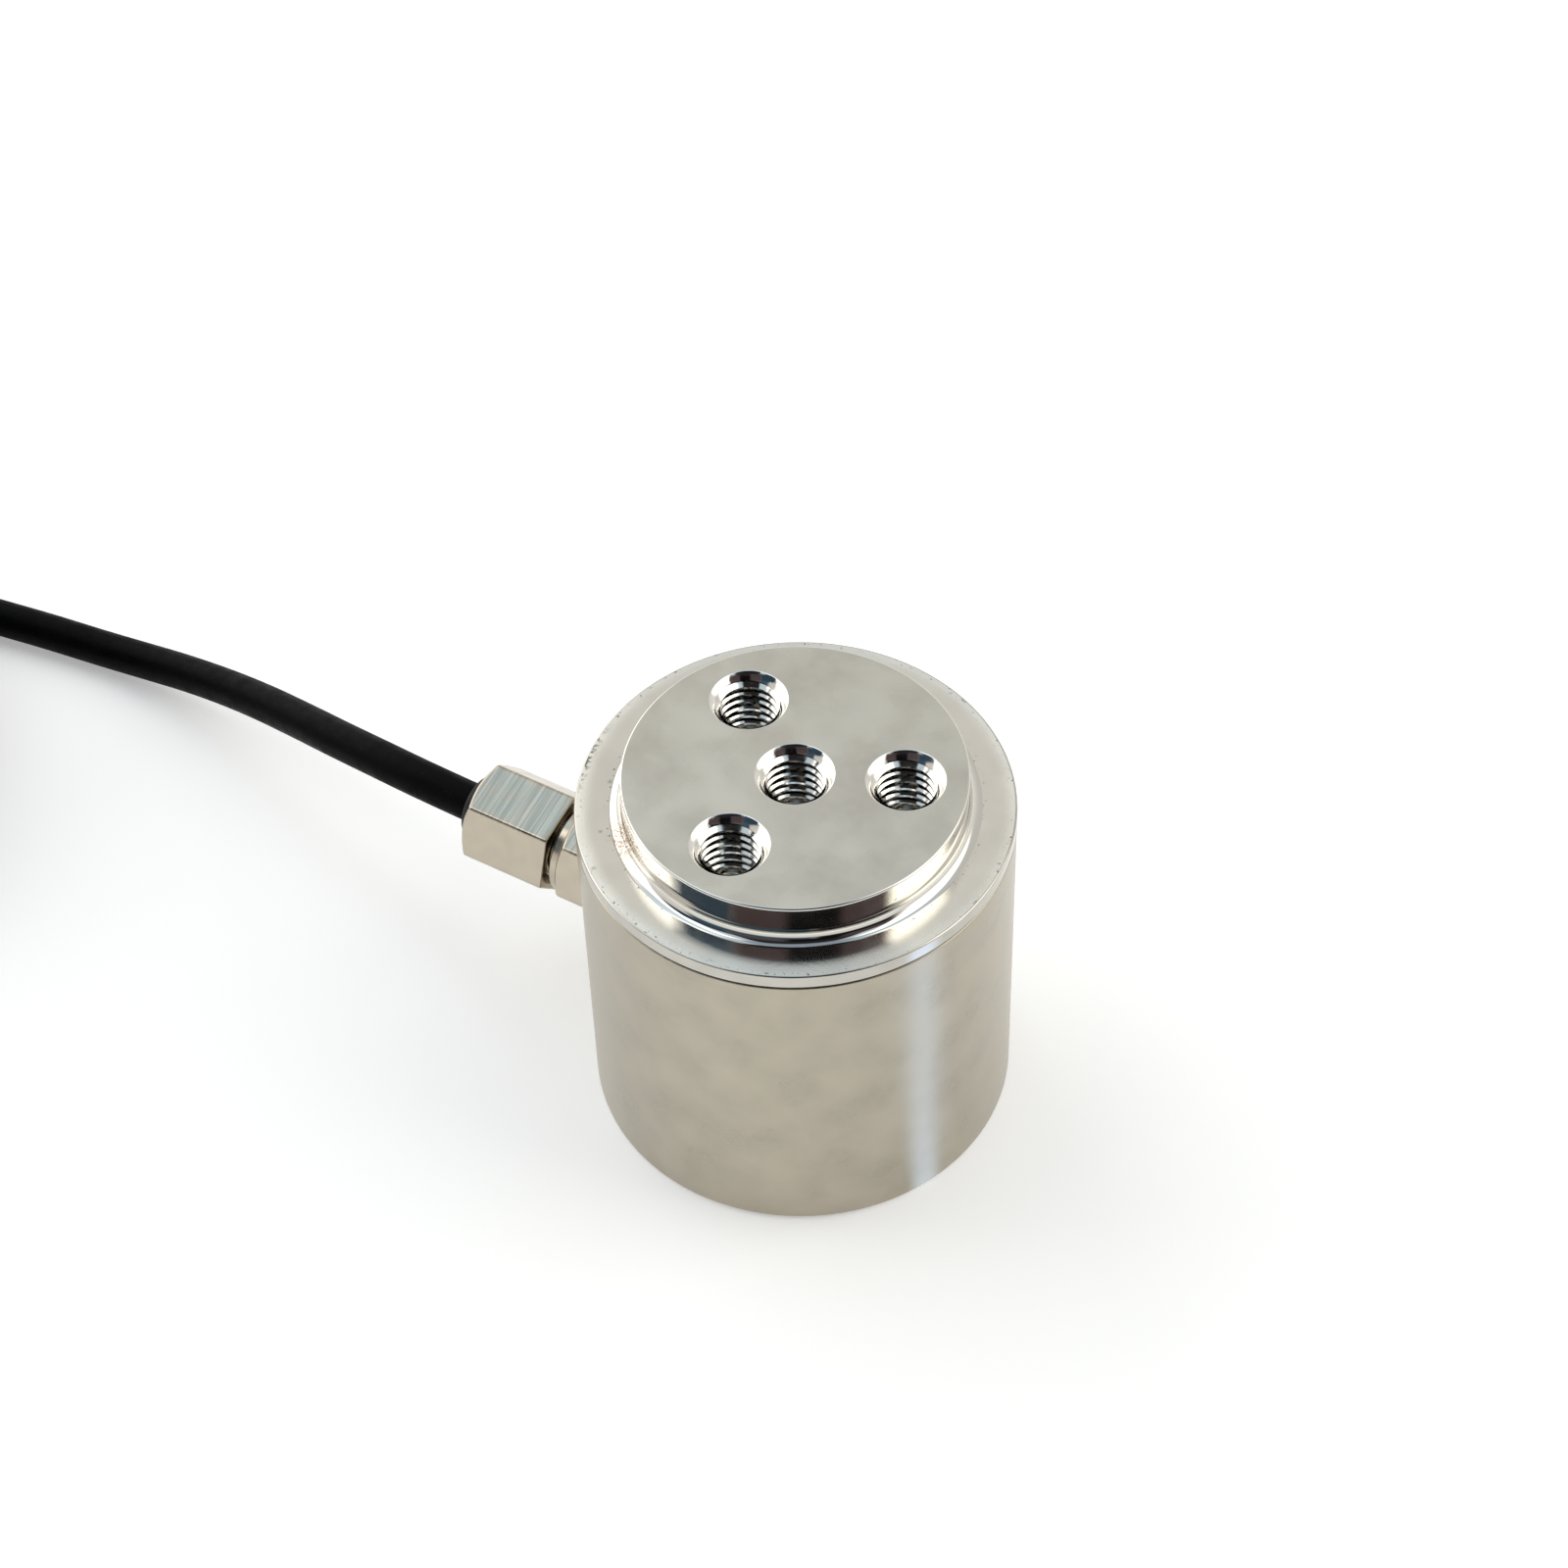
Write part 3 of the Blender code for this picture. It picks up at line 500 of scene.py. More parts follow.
def ring_wear(look, radius):
    """The ring's nicks near both edges, its notches and its specks, from none to full."""
    outer_start, outer_full = RING_OUTER_WEAR
    edge = look.spread(radius, BODY_RADIUS - outer_start, BODY_RADIUS - outer_full)
    foot = HEAD_RADIUS + COVE_RADIUS
    inner = look.spread(radius, foot, foot + RING_INNER_WEAR, 1.0, 0.0)
    nicks = look.spread(look.noise(0.00045, 2.0, 0.6), 0.63, 0.68)
    worn = look.maths("MULTIPLY", look.maths("MAXIMUM", edge, inner), nicks)
    notches = look.spread(look.noise(0.00060, 2.0, 0.6), 0.48, 0.54)
    notches = look.maths("MULTIPLY", look.maths("MULTIPLY", notches, edge),
                         look.near(NOTCH_PLACE, NOTCH_REACH))
    worn = look.maths("MAXIMUM", worn, notches)
    for x, y, reach in RING_SPECKS:
        speck = look.maths("MULTIPLY", look.near((x, y, BODY_HEIGHT), reach), RING_SPECK_TONE)
        worn = look.maths("MAXIMUM", worn, speck)
    return worn


def steel_ring():
    """The flat ring round the head, finely turned and worn at its edges."""
    colour = (0.83, 0.805, 0.74)
    look = Look("steel_ring", colour, 0.16, 1.0)
    _, toned = blotchy(look, colour, 0.0040, 0.04)
    radius = look.radius()
    look.set_colour(look.mix(ring_wear(look, radius), toned, RING_WORN_COLOUR))
    look.set_roughness(look.spread(radius, HEAD_RADIUS + 2 * COVE_RADIUS, BODY_RADIUS,
                                   0.09, 0.36))
    lines = look.maths("SINE", look.maths("MULTIPLY", radius, 2 * math.pi / RING_LINES))
    look.set_bump(lines, 0.0000010)
    look.brushed_across(0.6)
    return look.material


def steel_lip():
    """The ring's rounded edge and the band under it."""
    colour = (0.53, 0.505, 0.46)
    look = Look("steel_lip", colour, 0.12, 1.0)
    clouded(look, colour, 0.0030, 0.05, 0.08, 0.18)
    look.set_bump(look.noise(0.0030, 2.0), 0.00002)
    look.brushed_across(0.3)
    return look.material


def nickel():
    """The gland's plating: tool lines across its upper flats, with painted glints along them, plain
    faces elsewhere.
    Its base colour is nickel's own warm tone, made darker and warmer as a painted reflection of a
    shaded beige table. Local +Z runs along the gland."""
    # Darker and warmer than nickel: painted reflection of a shaded beige table
    colour = (0.50, 0.445, 0.36)
    look = Look("nickel", colour, 0.20, 1.0)
    across = look.stretched((0.02, 0.02, 1.0))
    lines = look.noise(0.00042, 3.0, 0.7, across)
    # Painted glints: sparse bright streaks across the top flat
    bright = look.spread(look.noise(0.00090, 1.0, 0.5, across), 0.66, 0.70)
    turn = math.radians(HEX_TURN)
    height = look.along((math.cos(turn), math.sin(turn), 0.0))
    upper = look.spread(height, *(ACROSS_HEX / 2 - under for under in TOP_FLAT_SKIN))
    clouds, toned = blotchy(look, colour, 0.0020, 0.05)
    lines_and_glints = look.mix(look.spread(lines, 0.32, 0.68), shade(colour, 0.78), shade(colour, 1.16))
    lines_and_glints = look.mix(bright, lines_and_glints, shade(colour, 1.65))
    look.set_colour(look.mix(upper, toned, lines_and_glints))
    look.set_roughness(look.spread(clouds, *NOISE_USUAL, 0.17, 0.26))
    look.set_bump(look.maths("MULTIPLY", lines, upper), 0.000010)
    return look.material


def metal(name, colour, roughness, clouds, ends, grain, bump):
    """A small or hidden metal face: size and depth of its clouds, ends of its roughness, and
    size and height of its grain."""
    look = Look(name, colour, roughness, 1.0)
    clouded(look, colour, *clouds, *ends)
    look.set_bump(look.noise(grain, 2.0), bump)
    return look.material


def plain(name, colour, roughness, depth=0.12, size=0.0008):
    """Moulded, coated or drawn plastic and rubber."""
    look = Look(name, colour, roughness)
    clouded(look, colour, size, depth, roughness - 0.06, roughness + 0.08)
    look.set_bump(look.noise(size / 4, 3.0, 0.6), 0.000008)
    return look.material


def sheath():
    """The cable's matte black sheath, faintly grained and scuffed."""
    colour = (0.0014, 0.0014, 0.0017)
    look = Look("sheath", colour, 0.42, Specular_IOR_Level=0.045)
    clouds = look.noise(0.0020, 3.0, 0.6)
    scuffs = look.spread(look.noise(0.0006, 3.0, 0.7), 0.62, 0.75)
    toned = look.mix(look.spread(clouds, *NOISE_USUAL), shade(colour, 0.75), shade(colour, 1.35))
    look.set_colour(look.mix(scuffs, toned, (0.008, 0.008, 0.009)))
    look.set_roughness(look.spread(clouds, *NOISE_USUAL, 0.42, 0.58))
    look.set_bump(look.noise(0.00022, 3.0, 0.6), 0.00004)
    return look.material


LOOKS = {
    "steel": steel_face,
    "steel_satin": steel_satin,
    "steel_polish": steel_polish,
    "steel_ring": steel_ring,
    "steel_lip": steel_lip,
    "steel_thread": lambda: metal("steel_thread", (0.76, 0.74, 0.70), 0.08, (0.0010, 0.06),
                                  (0.05, 0.12), 0.0004, 0.000006),
    "steel_inside": lambda: metal("steel_inside", (0.40, 0.39, 0.37), 0.35, (0.0030, 0.05),
                                  (0.30, 0.42), 0.0002, 0.000004),
    "nickel": nickel,
    "brass": lambda: metal("brass", (0.70, 0.52, 0.24), 0.3, (0.0012, 0.08),
                           (0.25, 0.42), 0.0002, 0.000004),
    "tinned": lambda: metal("tinned", (0.70, 0.70, 0.69), 0.3, (0.0006, 0.10),
                            (0.22, 0.42), 0.00015, 0.00001),
    "sheath": sheath,
    "rubber": lambda: plain("rubber", (0.012, 0.012, 0.013), 0.55),
    "polyimide": lambda: plain("polyimide", (0.55, 0.28, 0.06), 0.35),
    "board": lambda: plain("board", (0.03, 0.20, 0.08), 0.40, size=0.0015),
    "nylon": lambda: plain("nylon", (0.62, 0.61, 0.57), 0.42, depth=0.05),
    "resistor": lambda: plain("resistor", (0.10, 0.12, 0.30), 0.35),
    "red": lambda: plain("red", (0.50, 0.02, 0.02), 0.40),
    "black": lambda: plain("black", (0.02, 0.02, 0.02), 0.40),
    "green": lambda: plain("green", (0.02, 0.28, 0.06), 0.40),
    "white": lambda: plain("white", (0.72, 0.72, 0.69), 0.40, depth=0.05),
}


@functools.cache
def material(name):
    return LOOKS[name]()


# Meshes

def add(name, data, looks=(), matrix=None):
    made = bpy.data.objects.new(name, data)
    bpy.context.scene.collection.objects.link(made)
    if matrix is not None:
        made.matrix_world = matrix
    for look in looks:
        data.materials.append(material(look))
    return made


def finished(name, shape, looks=(), matrix=None):
    """An object of a shape built with bmesh, which is used up."""
    mesh = bpy.data.meshes.new(name)
    shape.to_mesh(mesh)
    shape.free()
    return add(name, mesh, looks, matrix)


def turned(name, profile, looks, steps=BODY_STEPS, ring=False, matrix=None):
    """A turned mesh from (radius, height, look) points that run down its outer side. A look
    holds for the band below its point. A ring's profile closes on itself, and any other ends
    in flat faces."""
    shape = bmesh.new()
    circle = [2 * math.pi * j / steps for j in range(steps)]
    rows = [[shape.verts.new((r * math.cos(a), r * math.sin(a), z)) for a in circle]
            for r, z, _ in profile]
    if ring:
        rows.append(rows[0])
    for i in range(len(rows) - 1):
        for j in range(steps):
            k = (j + 1) % steps
            face = shape.faces.new((rows[i][j], rows[i + 1][j], rows[i + 1][k], rows[i][k]))
            face.material_index = looks.index(profile[i][2])
    if not ring:
        shape.faces.new(rows[0])
        bottom = shape.faces.new(list(reversed(rows[-1])))
        bottom.material_index = looks.index(profile[-1][2])
    return finished(name, shape, looks, matrix)


def arc(centre, radius, start, end, steps):
    """Profile points of an arc, with angles in degrees from +radius towards +height."""
    points = []
    for i in range(steps + 1):
        angle = math.radians(start + (end - start) * i / steps)
        points.append((centre[0] + radius * math.cos(angle),
                       centre[1] + radius * math.sin(angle)))
    return points


def of(look, points):
    """A profile's points with their look."""
    return [(radius, height, look) for radius, height in points]


def threaded(name, section, pitch, turns, steps, look, matrix=None):
    """A solid screw from the (offset, radius) corners of one turn's section, which runs down
    from local z = 0. Each corner is a row that climbs one pitch a turn."""
    shape = bmesh.new()
    corners = len(section)
    rows = turns * corners + 1
    columns = []
    for j in range(steps + 1):
        angle = 2 * math.pi * j / steps
        column = []
        for m in range(rows):
            if j == steps and m >= corners:
                column.append(columns[0][m - corners])
                continue
            offset, radius = section[m % corners]
            height = -(m // corners) * pitch - offset - pitch * (1 - j / steps)
            column.append(shape.verts.new((radius * math.cos(angle), radius * math.sin(angle),
                                           height)))
        columns.append(column)
    for left, right in zip(columns, columns[1:]):
        for m in range(rows - 1):
            shape.faces.new((left[m], left[m + 1], right[m + 1], right[m]))
    top = [column[0] for column in columns] + columns[-1][1:corners]
    bottom = [column[-1] for column in columns] + columns[0][rows - corners:rows - 1]
    for rim, height in ((top, 0.0), (list(reversed(bottom)), -(turns + 1) * pitch)):
        tip = shape.verts.new((0.0, 0.0, height))
        for a, b in zip(rim, rim[1:] + rim[:1]):
            shape.faces.new((a, b, tip))
    bmesh.ops.recalc_face_normals(shape, faces=shape.faces)
    return finished(name, shape, [look], matrix)


def prism(name, outline, start, end, look, matrix=None):
    """An upright prism over a flat outline."""
    shape = bmesh.new()
    low = [shape.verts.new((x, y, start)) for x, y in outline]
    high = [shape.verts.new((x, y, end)) for x, y in outline]
    shape.faces.new(list(reversed(low)))
    shape.faces.new(high)
    for i in range(len(outline)):
        j = (i + 1) % len(outline)
        shape.faces.new((low[i], low[j], high[j], high[i]))
    return finished(name, shape, [look], matrix)


def settle(obj):
    """Applies the object's modifiers and removes the objects that cut it."""
    graph = bpy.context.evaluated_depsgraph_get()
    mesh = bpy.data.meshes.new_from_object(obj.evaluated_get(graph))
    cutters = [m.object for m in obj.modifiers if m.type == "BOOLEAN"]
    obj.modifiers.clear()
    obj.data = mesh
    for cutter in cutters:
        bpy.data.objects.remove(cutter, do_unlink=True)
    return obj


def join(name, objects):
    """One object of several closed shapes that lie apart."""
    with bpy.context.temp_override(active_object=objects[0], selected_editable_objects=objects):
        bpy.ops.object.join()
    objects[0].name = name
    return objects[0]


def cut(obj, cutter, operation="DIFFERENCE"):
    change = obj.modifiers.new(cutter.name, "BOOLEAN")
    change.operation = operation
    change.object = cutter
    change.solver = "EXACT"
    change.material_mode = "TRANSFER"
    return settle(obj)


def rounded(obj, width, segments, limit=CREASE):
    """Rounds the edges whose faces meet at more than this many degrees."""
    edges = obj.modifiers.new("edges", "BEVEL")
    edges.width = width
    edges.segments = segments
    edges.limit_method = "ANGLE"
    edges.angle_limit = math.radians(limit)
    return settle(obj)


def soften(mesh, crease):
    """Smooth shading that stops at edges sharper than this many degrees."""
    mesh.shade_smooth()
    mesh.set_sharp_from_angle(angle=math.radians(crease))


def polish(obj):
    """Smooth faces that keep flat faces flat and edges crisp."""
    soften(obj.data, CREASE)
    weighted = obj.modifiers.new("normals", "WEIGHTED_NORMAL")
    weighted.keep_sharp = True
    return settle(obj)


def dressed(obj, slot_name, *nodes):
    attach(obj, "root")
    if nodes:
        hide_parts(*nodes)
    return obj


# Load element

def hole_places():
    places = [(0.0, 0.0)]
    for i in range(OUTER_HOLES):
        angle = math.radians(HOLE_AZIMUTH + 360 * i / OUTER_HOLES)
        places.append((HOLE_RADIUS * math.cos(angle), HOLE_RADIUS * math.sin(angle)))
    return places


def groove(centre):
    half = RING_GROOVE_WIDTH / 2
    return [(SPIGOT_RADIUS, centre + half), (RING_GROOVE_FLOOR, centre + half),
            (RING_GROOVE_FLOOR, centre - half), (SPIGOT_RADIUS, centre - half)]


def element_profile():
    fillet = COLUMN_RADIUS + COLUMN_FILLET
    head = arc((HEAD_RADIUS - HEAD_EDGE, TOTAL_HEIGHT - HEAD_EDGE), HEAD_EDGE, 90, 0, steps=5)
    head += arc((HEAD_RADIUS + COVE_RADIUS, BODY_HEIGHT + COVE_RADIUS), COVE_RADIUS, 180, 270,
                steps=20)
    lip = arc((BODY_RADIUS - LIP_ROUNDING, BODY_HEIGHT - LIP_ROUNDING), LIP_ROUNDING, 90, 0,
              steps=6)
    lip += [(BODY_RADIUS, LIP_UNDERSIDE + LIP_EDGE / 2)]
    inside = [(BODY_RADIUS - LIP_EDGE / 2, LIP_UNDERSIDE), (SPIGOT_RADIUS, LIP_UNDERSIDE)]
    inside += groove(UPPER_RING_HEIGHT)
    inside += [(SPIGOT_RADIUS, CAVITY_CEILING)]
    inside += arc((fillet, CAVITY_CEILING - COLUMN_FILLET), COLUMN_FILLET, 90, 180, steps=8)
    inside += arc((fillet, BASE_BLOCK + COLUMN_FILLET), COLUMN_FILLET, 180, 270, steps=8)
    inside += [(SPIGOT_RADIUS, BASE_BLOCK)]
    inside += groove(BASE_RING_HEIGHT)
    inside += [(SPIGOT_RADIUS, BASE_EDGE)]
    return [*of("steel_polish", head[:-1]), *of("steel_ring", head[-1:]), *of("steel_lip", lip),
            *of("steel_inside", inside), (SPIGOT_RADIUS - BASE_EDGE, 0.0, "steel")]


def drill(depth, steps, matrix):
    """Countersink with a broken edge, core hole and drill point, down from local z = 0."""
    slope = math.tan(math.radians(MOUTH_SLOPE))
    thread_end = depth - THREAD_SHORT
    tip = TAP_DRILL_RADIUS / math.tan(math.radians(DRILL_POINT / 2))
    broken = COUNTERSINK_RADIUS - MOUTH_BREAK
    points = [(broken + (CUTTER_OVERRUN + MOUTH_BREAK) / slope, CUTTER_OVERRUN),
              (broken, -MOUTH_BREAK), (THREAD_CORE, THREAD_CORE - COUNTERSINK_RADIUS),
              (THREAD_CORE, -thread_end), (TAP_DRILL_RADIUS, -thread_end),
              (TAP_DRILL_RADIUS, -depth), (DRILL_TIP, -depth - tip)]
    look = "steel_thread"
    return turned("drill", of(look, points), [look], steps, matrix=matrix)


def tap(depth, steps, matrix):
    """M8 thread of a tapped hole, from just above its mouth down to its last full turn."""
    flank = (THREAD_ROOT - THREAD_CREST) * math.tan(math.radians(THREAD_FLANK))
    crest = THREAD_PITCH / 4
    root = THREAD_PITCH / 8
    section = [(0.0, THREAD_CREST), (crest, THREAD_CREST), (crest + flank, THREAD_ROOT),
               (crest + flank + root, THREAD_ROOT)]
    turns = math.ceil((depth - THREAD_SHORT) / THREAD_PITCH)
    lift = Matrix.Translation((0, 0, THREAD_LIFT))
    return threaded("tap", section, THREAD_PITCH, turns, steps, "steel_thread", matrix @ lift)


def load_element():
    looks = ["steel", "steel_polish", "steel_ring", "steel_lip", "steel_inside"]
    element = turned("load_element_turned", element_profile(), looks)
    near, far = COLUMN_RADIUS - FLAT_DEPTH, 2 * COLUMN_RADIUS
    outline = [(near, -COLUMN_RADIUS), (far, -COLUMN_RADIUS), (far, COLUMN_RADIUS),
               (near, COLUMN_RADIUS)]
    for i in range(COLUMN_FLATS):
        turn = Matrix.Rotation(2 * math.pi * i / COLUMN_FLATS, 4, "Z")
        flat = prism("flat", outline, BASE_BLOCK + FLAT_RUNOUT, CAVITY_CEILING - FLAT_RUNOUT,
                     "steel_inside", turn)
        cut(element, rounded(flat, FLAT_ROUNDING, segments=4))
    ups = []
    downs = []
    for x, y in hole_places():
        ups.append(Matrix.Translation((x, y, TOTAL_HEIGHT)))
        downs.append(Matrix.Translation((x, y, 0)) @ Matrix.Rotation(math.pi, 4, "X"))
    for maker in (drill, tap):
        cutters = [maker(HEAD_TAP_DEPTH, HOLE_STEPS, up) for up in ups]
        cutters += [maker(BASE_TAP_DEPTH, BASE_HOLE_STEPS, down) for down in downs]
        cut(element, join("holes", cutters))
    polish(element)
    dressed(element, "steel", "load_element")


# Gland

def gland_frame():
    """Local +Z runs out along the gland, from the cell's axis towards -X."""
    turn = Matrix.Rotation(math.radians(-90), 4, "Y")
    return Matrix.Translation((0, 0, GLAND_HEIGHT)) @ turn


def along_gland(name, points, look="nickel", ring=False):
    """A mesh turned round the gland's axis from (radius, station) points, all of one look."""
    return turned(name, of(look, points), [look], GLAND_STEPS, ring, gland_frame())


def hexagon(name, start, end):
    """A hexagonal bar along the gland, its long edges slightly rounded."""
    reach = HEX_CORNER - HEX_ROUNDING / math.cos(math.radians(HEX_HALF_SIDE))
    outline = []
    for i in range(HEX_SIDES):
        middle = (2 * i + 1) * HEX_HALF_SIDE + HEX_TURN
        corner = math.radians(middle)
        outline += arc((reach * math.cos(corner), reach * math.sin(corner)), HEX_ROUNDING,
                       middle - HEX_HALF_SIDE, middle + HEX_HALF_SIDE, steps=6)
    return prism(name, outline, start, end, "nickel", gland_frame())


def chamfered_hexagon(name, start, end):
    """A hexagonal bar, chamfered down to a round face at its outer end, its edges broken."""
    bar = hexagon(name, start, end)
    reach = HEX_CORNER + FIT
    drop = (reach - HEX_FACE) * math.tan(math.radians(HEX_CHAMFER))
    envelope = [(HEX_FACE, end), (reach, end - drop), (reach, start - FIT)]
    cut(bar, along_gland("envelope", envelope), "INTERSECT")
    return rounded(bar, HEX_BREAK, segments=3, limit=HEX_BREAK_LIMIT)


def gland_body():
    body = chamfered_hexagon("gland_body_hex", BASE_HEX_START, BASE_HEX_END)
    spigot = [(GLAND_SPIGOT_RADIUS, BASE_HEX_START + FIT), (GLAND_SPIGOT_RADIUS, SPIGOT_END + FIT),
              (GLAND_SPIGOT_RADIUS - FIT, SPIGOT_END)]
    cut(body, along_gland("spigot", spigot), "UNION")
    half = NECK_PITCH / 2
    root = NECK_RADIUS - NECK_DEPTH
    section = [(0.0, NECK_RADIUS), (NECK_LAND, NECK_RADIUS), (half, root), (half + NECK_LAND, root)]
    turns = round((NECK_END - BASE_HEX_END) / NECK_PITCH)
    place = gland_frame() @ Matrix.Translation((0, 0, NECK_END))
    cut(body, threaded("neck", section, NECK_PITCH, turns, GLAND_STEPS, "nickel", place), "UNION")
    collar_end = NUT_START - NECK_GAP
    collar = [(NECK_COLLAR - FIT / 2, collar_end), (NECK_COLLAR, collar_end - FIT / 2),
              (NECK_COLLAR, BASE_HEX_END - FIT)]
    cut(body, along_gland("collar", collar), "UNION")
    seat = SEAL_OUTER + FIT
    stop = NECK_END - SEAL_SEAT
    bore = [(seat, NECK_END + FIT), (seat, stop), (SEAL_INNER, stop - seat + SEAL_INNER),
            (SEAL_INNER, SPIGOT_END - FIT)]
    cut(body, along_gland("bore", bore))
    polish(body)
    return dressed(body, "nickel", "gland_body")


def gland_nut():
    nut = chamfered_hexagon("gland_nut_hex", NUT_START, NUT_END)
    mouth = SEAL_OUTER + FIT
    bore = [(mouth + FIT, NUT_END + FIT / 2), (mouth, NUT_END - FIT / 2), (mouth, NUT_SHOULDER),
            (NUT_BORE, NUT_SHOULDER), (NUT_BORE, NUT_START - FIT)]
    cut(nut, along_gland("bore", bore))
    polish(nut)
    return dressed(nut, "nickel", "gland_nut")


def gland_seal():
    flange_end = SEAL_FLANGE_START + SEAL_FLANGE
    top = NUT_END + SEAL_LIP - FIT
    foot = NECK_END - SEAL_SEAT + FIT
    points = arc((SEAL_INNER + FIT, top), FIT, 180, 90, steps=4)
    points += arc((SEAL_OUTER - FIT, top), FIT, 90, 0, steps=4)
    points += [(SEAL_OUTER, flange_end), (NECK_RADIUS, flange_end),
               (NECK_RADIUS, SEAL_FLANGE_START), (SEAL_OUTER, SEAL_FLANGE_START),
               (SEAL_OUTER, foot), (SEAL_INNER, foot)]
    seal = along_gland("gland_seal_turned", points, "rubber", ring=True)
    polish(seal)
    return dressed(seal, "rubber", "gland_seal")


# Sleeve, with the port and the spot face that the gland sits in

def housing_sleeve():
    wall = "steel_satin"
    points = arc((BODY_RADIUS - SLEEVE_EDGE, SLEEVE_TOP - SLEEVE_EDGE), SLEEVE_EDGE, 90, 0,
                 steps=4)
    points += arc((BODY_RADIUS - SLEEVE_FOOT_EDGE, SLEEVE_BOTTOM + SLEEVE_FOOT_EDGE),
                  SLEEVE_FOOT_EDGE, 0, -90, steps=4)
    points += [(SLEEVE_BORE_RADIUS + SLEEVE_EDGE, SLEEVE_BOTTOM),
               (SLEEVE_BORE_RADIUS, SLEEVE_BOTTOM + SLEEVE_EDGE),
               (SLEEVE_BORE_RADIUS, SLEEVE_TOP)]
    sleeve = turned("housing_sleeve_turned", of(wall, points), [wall], ring=True)
    beyond = BODY_RADIUS + HEX_CORNER
    inside = SLEEVE_BORE_RADIUS - HEX_CORNER
    port = [(SPOT_RADIUS, beyond), (SPOT_RADIUS, SPOT_FACE), (PORT_RADIUS, SPOT_FACE),
            (PORT_RADIUS, inside)]
    cut(sleeve, along_gland("port", port, wall))
    polish(sleeve)
    dressed(sleeve, "steel_satin", "housing_sleeve")


# Cable

def curve_through(points, step):
    """Points about a step apart on a smooth curve through the route's own points."""
    knots = [Vector(p) for p in points]
    knots = [2 * knots[0] - knots[1], *knots, 2 * knots[-1] - knots[-2]]
    made = []
    for i in range(1, len(knots) - 2):
        a, b, c, d = knots[i - 1:i + 3]
        pieces = max(1, round((c - b).length / step))
        for j in range(pieces):
            t = j / pieces
            made.append(0.5 * (2 * b + (c - a) * t + (2 * a - 5 * b + 4 * c - d) * t ** 2
                               + (3 * b - a - 3 * c + d) * t ** 3))
    made.append(knots[-2])
    return made


def azimuth_at_coil(point):
    return math.degrees(math.atan2(point[1] - COIL_CENTRE[1], point[0] - COIL_CENTRE[0]))


def at_coil(angle, radius, height):
    """The point at this angle and distance round the coil's axis."""
    return Vector((COIL_CENTRE[0] + radius * math.cos(angle),
                   COIL_CENTRE[1] + radius * math.sin(angle), height))


def off_tie(azimuth):
    """Degrees from the tie to an azimuth, the short way round."""
    return (azimuth - TIE_AZIMUTH + 180) % 360 - 180


def coil_point(azimuth, radius, height):
    """A point of the coil, a little higher where the tie passes under the turns."""
    lift = TIE_LIFT * smooth(1 - abs(off_tie(azimuth)) / TIE_LIFT_ARC)
    return at_coil(math.radians(azimuth), radius, height + lift)


def winding(angle):
    """Radius and height of the coil's centreline after this many degrees of winding."""
    layer, into = divmod(angle, LAYER_ARC + RISE_ARC)
    travel = min(into, LAYER_ARC) / 360
    share = max(0.0, into - LAYER_ARC) / RISE_ARC
    travel += RISE_ARC / 360 * share * (1 - share)
    if layer % 2 == 0:
        radius = COIL_OUTER - CABLE_DIAMETER * travel
    else:
        radius = COIL_INNER + CABLE_DIAMETER * travel
    return radius, CABLE_DIAMETER * (0.5 + layer + smooth(share))


def coil_route():
    """Points from where the run meets the coil to where the free end lies on top of it."""
    ahead = Vector(RUN_POINTS[-1]) - Vector(RUN_POINTS[-2])
    entry = math.degrees(math.atan2(ahead.y, ahead.x)) - 90
    wound = COIL_LAYERS * LAYER_ARC + (COIL_LAYERS - 1) * RISE_ARC
    steps = round(wound / WINDING_STEP)
    points = []
    for i in range(steps + 1):
        angle = wound * i / steps * WINDING_SHARE
        points.append(coil_point(entry + angle, *winding(angle)))
    end = Vector(TAIL_POINTS[0])
    last = (azimuth_at_coil(end) - entry - wound) % 360
    top = CABLE_DIAMETER * (COIL_LAYERS - 0.5)
    steps = round(last / WINDING_STEP)
    for i in range(1, steps):
        share = i / steps
        points.append(coil_point(entry + wound + last * share, COIL_INNER,
                                 top + (end.z - top) * smooth(share)))
    return points


def tube(name, points, radius, sides, looks):
    """A curve of one open spline. Each point is a place and its share of the radius."""
    curve = bpy.data.curves.new(name, "CURVE")
    curve.dimensions = "3D"
    curve.bevel_depth = radius
    curve.bevel_resolution = sides // 4 - 1
    curve.use_fill_caps = True
    spline = curve.splines.new("POLY")
    spline.use_smooth = True
    spline.points.add(len(points) - 1)
    for point, (place, share) in zip(spline.points, points):
        point.co = (*place, 1.0)
        point.radius = share
    return add(name, curve, looks)


def cable():
    route = [*GLAND_POINTS, *RUN_POINTS, *coil_route(), *TAIL_POINTS]
    points = [(place, 1.0) for place in curve_through(route, CABLE_STEP)]
    made = tube("cable", points, CABLE_DIAMETER / 2, CABLE_SIDES, ["sheath"])
    return dressed(made, "sheath", "cable_run", "cable_coil", "cable_tail")


def core_offset(colour):
    """Where a core lies in the cable's section: the drain in the middle, the rest round it."""
    if colour not in CORE_CORNERS:
        return (0.0, 0.0)
    angle = math.radians(CORE_CORNERS[colour])
    return (CORE_CIRCLE / 2 * math.cos(angle), CORE_CIRCLE / 2 * math.sin(angle))


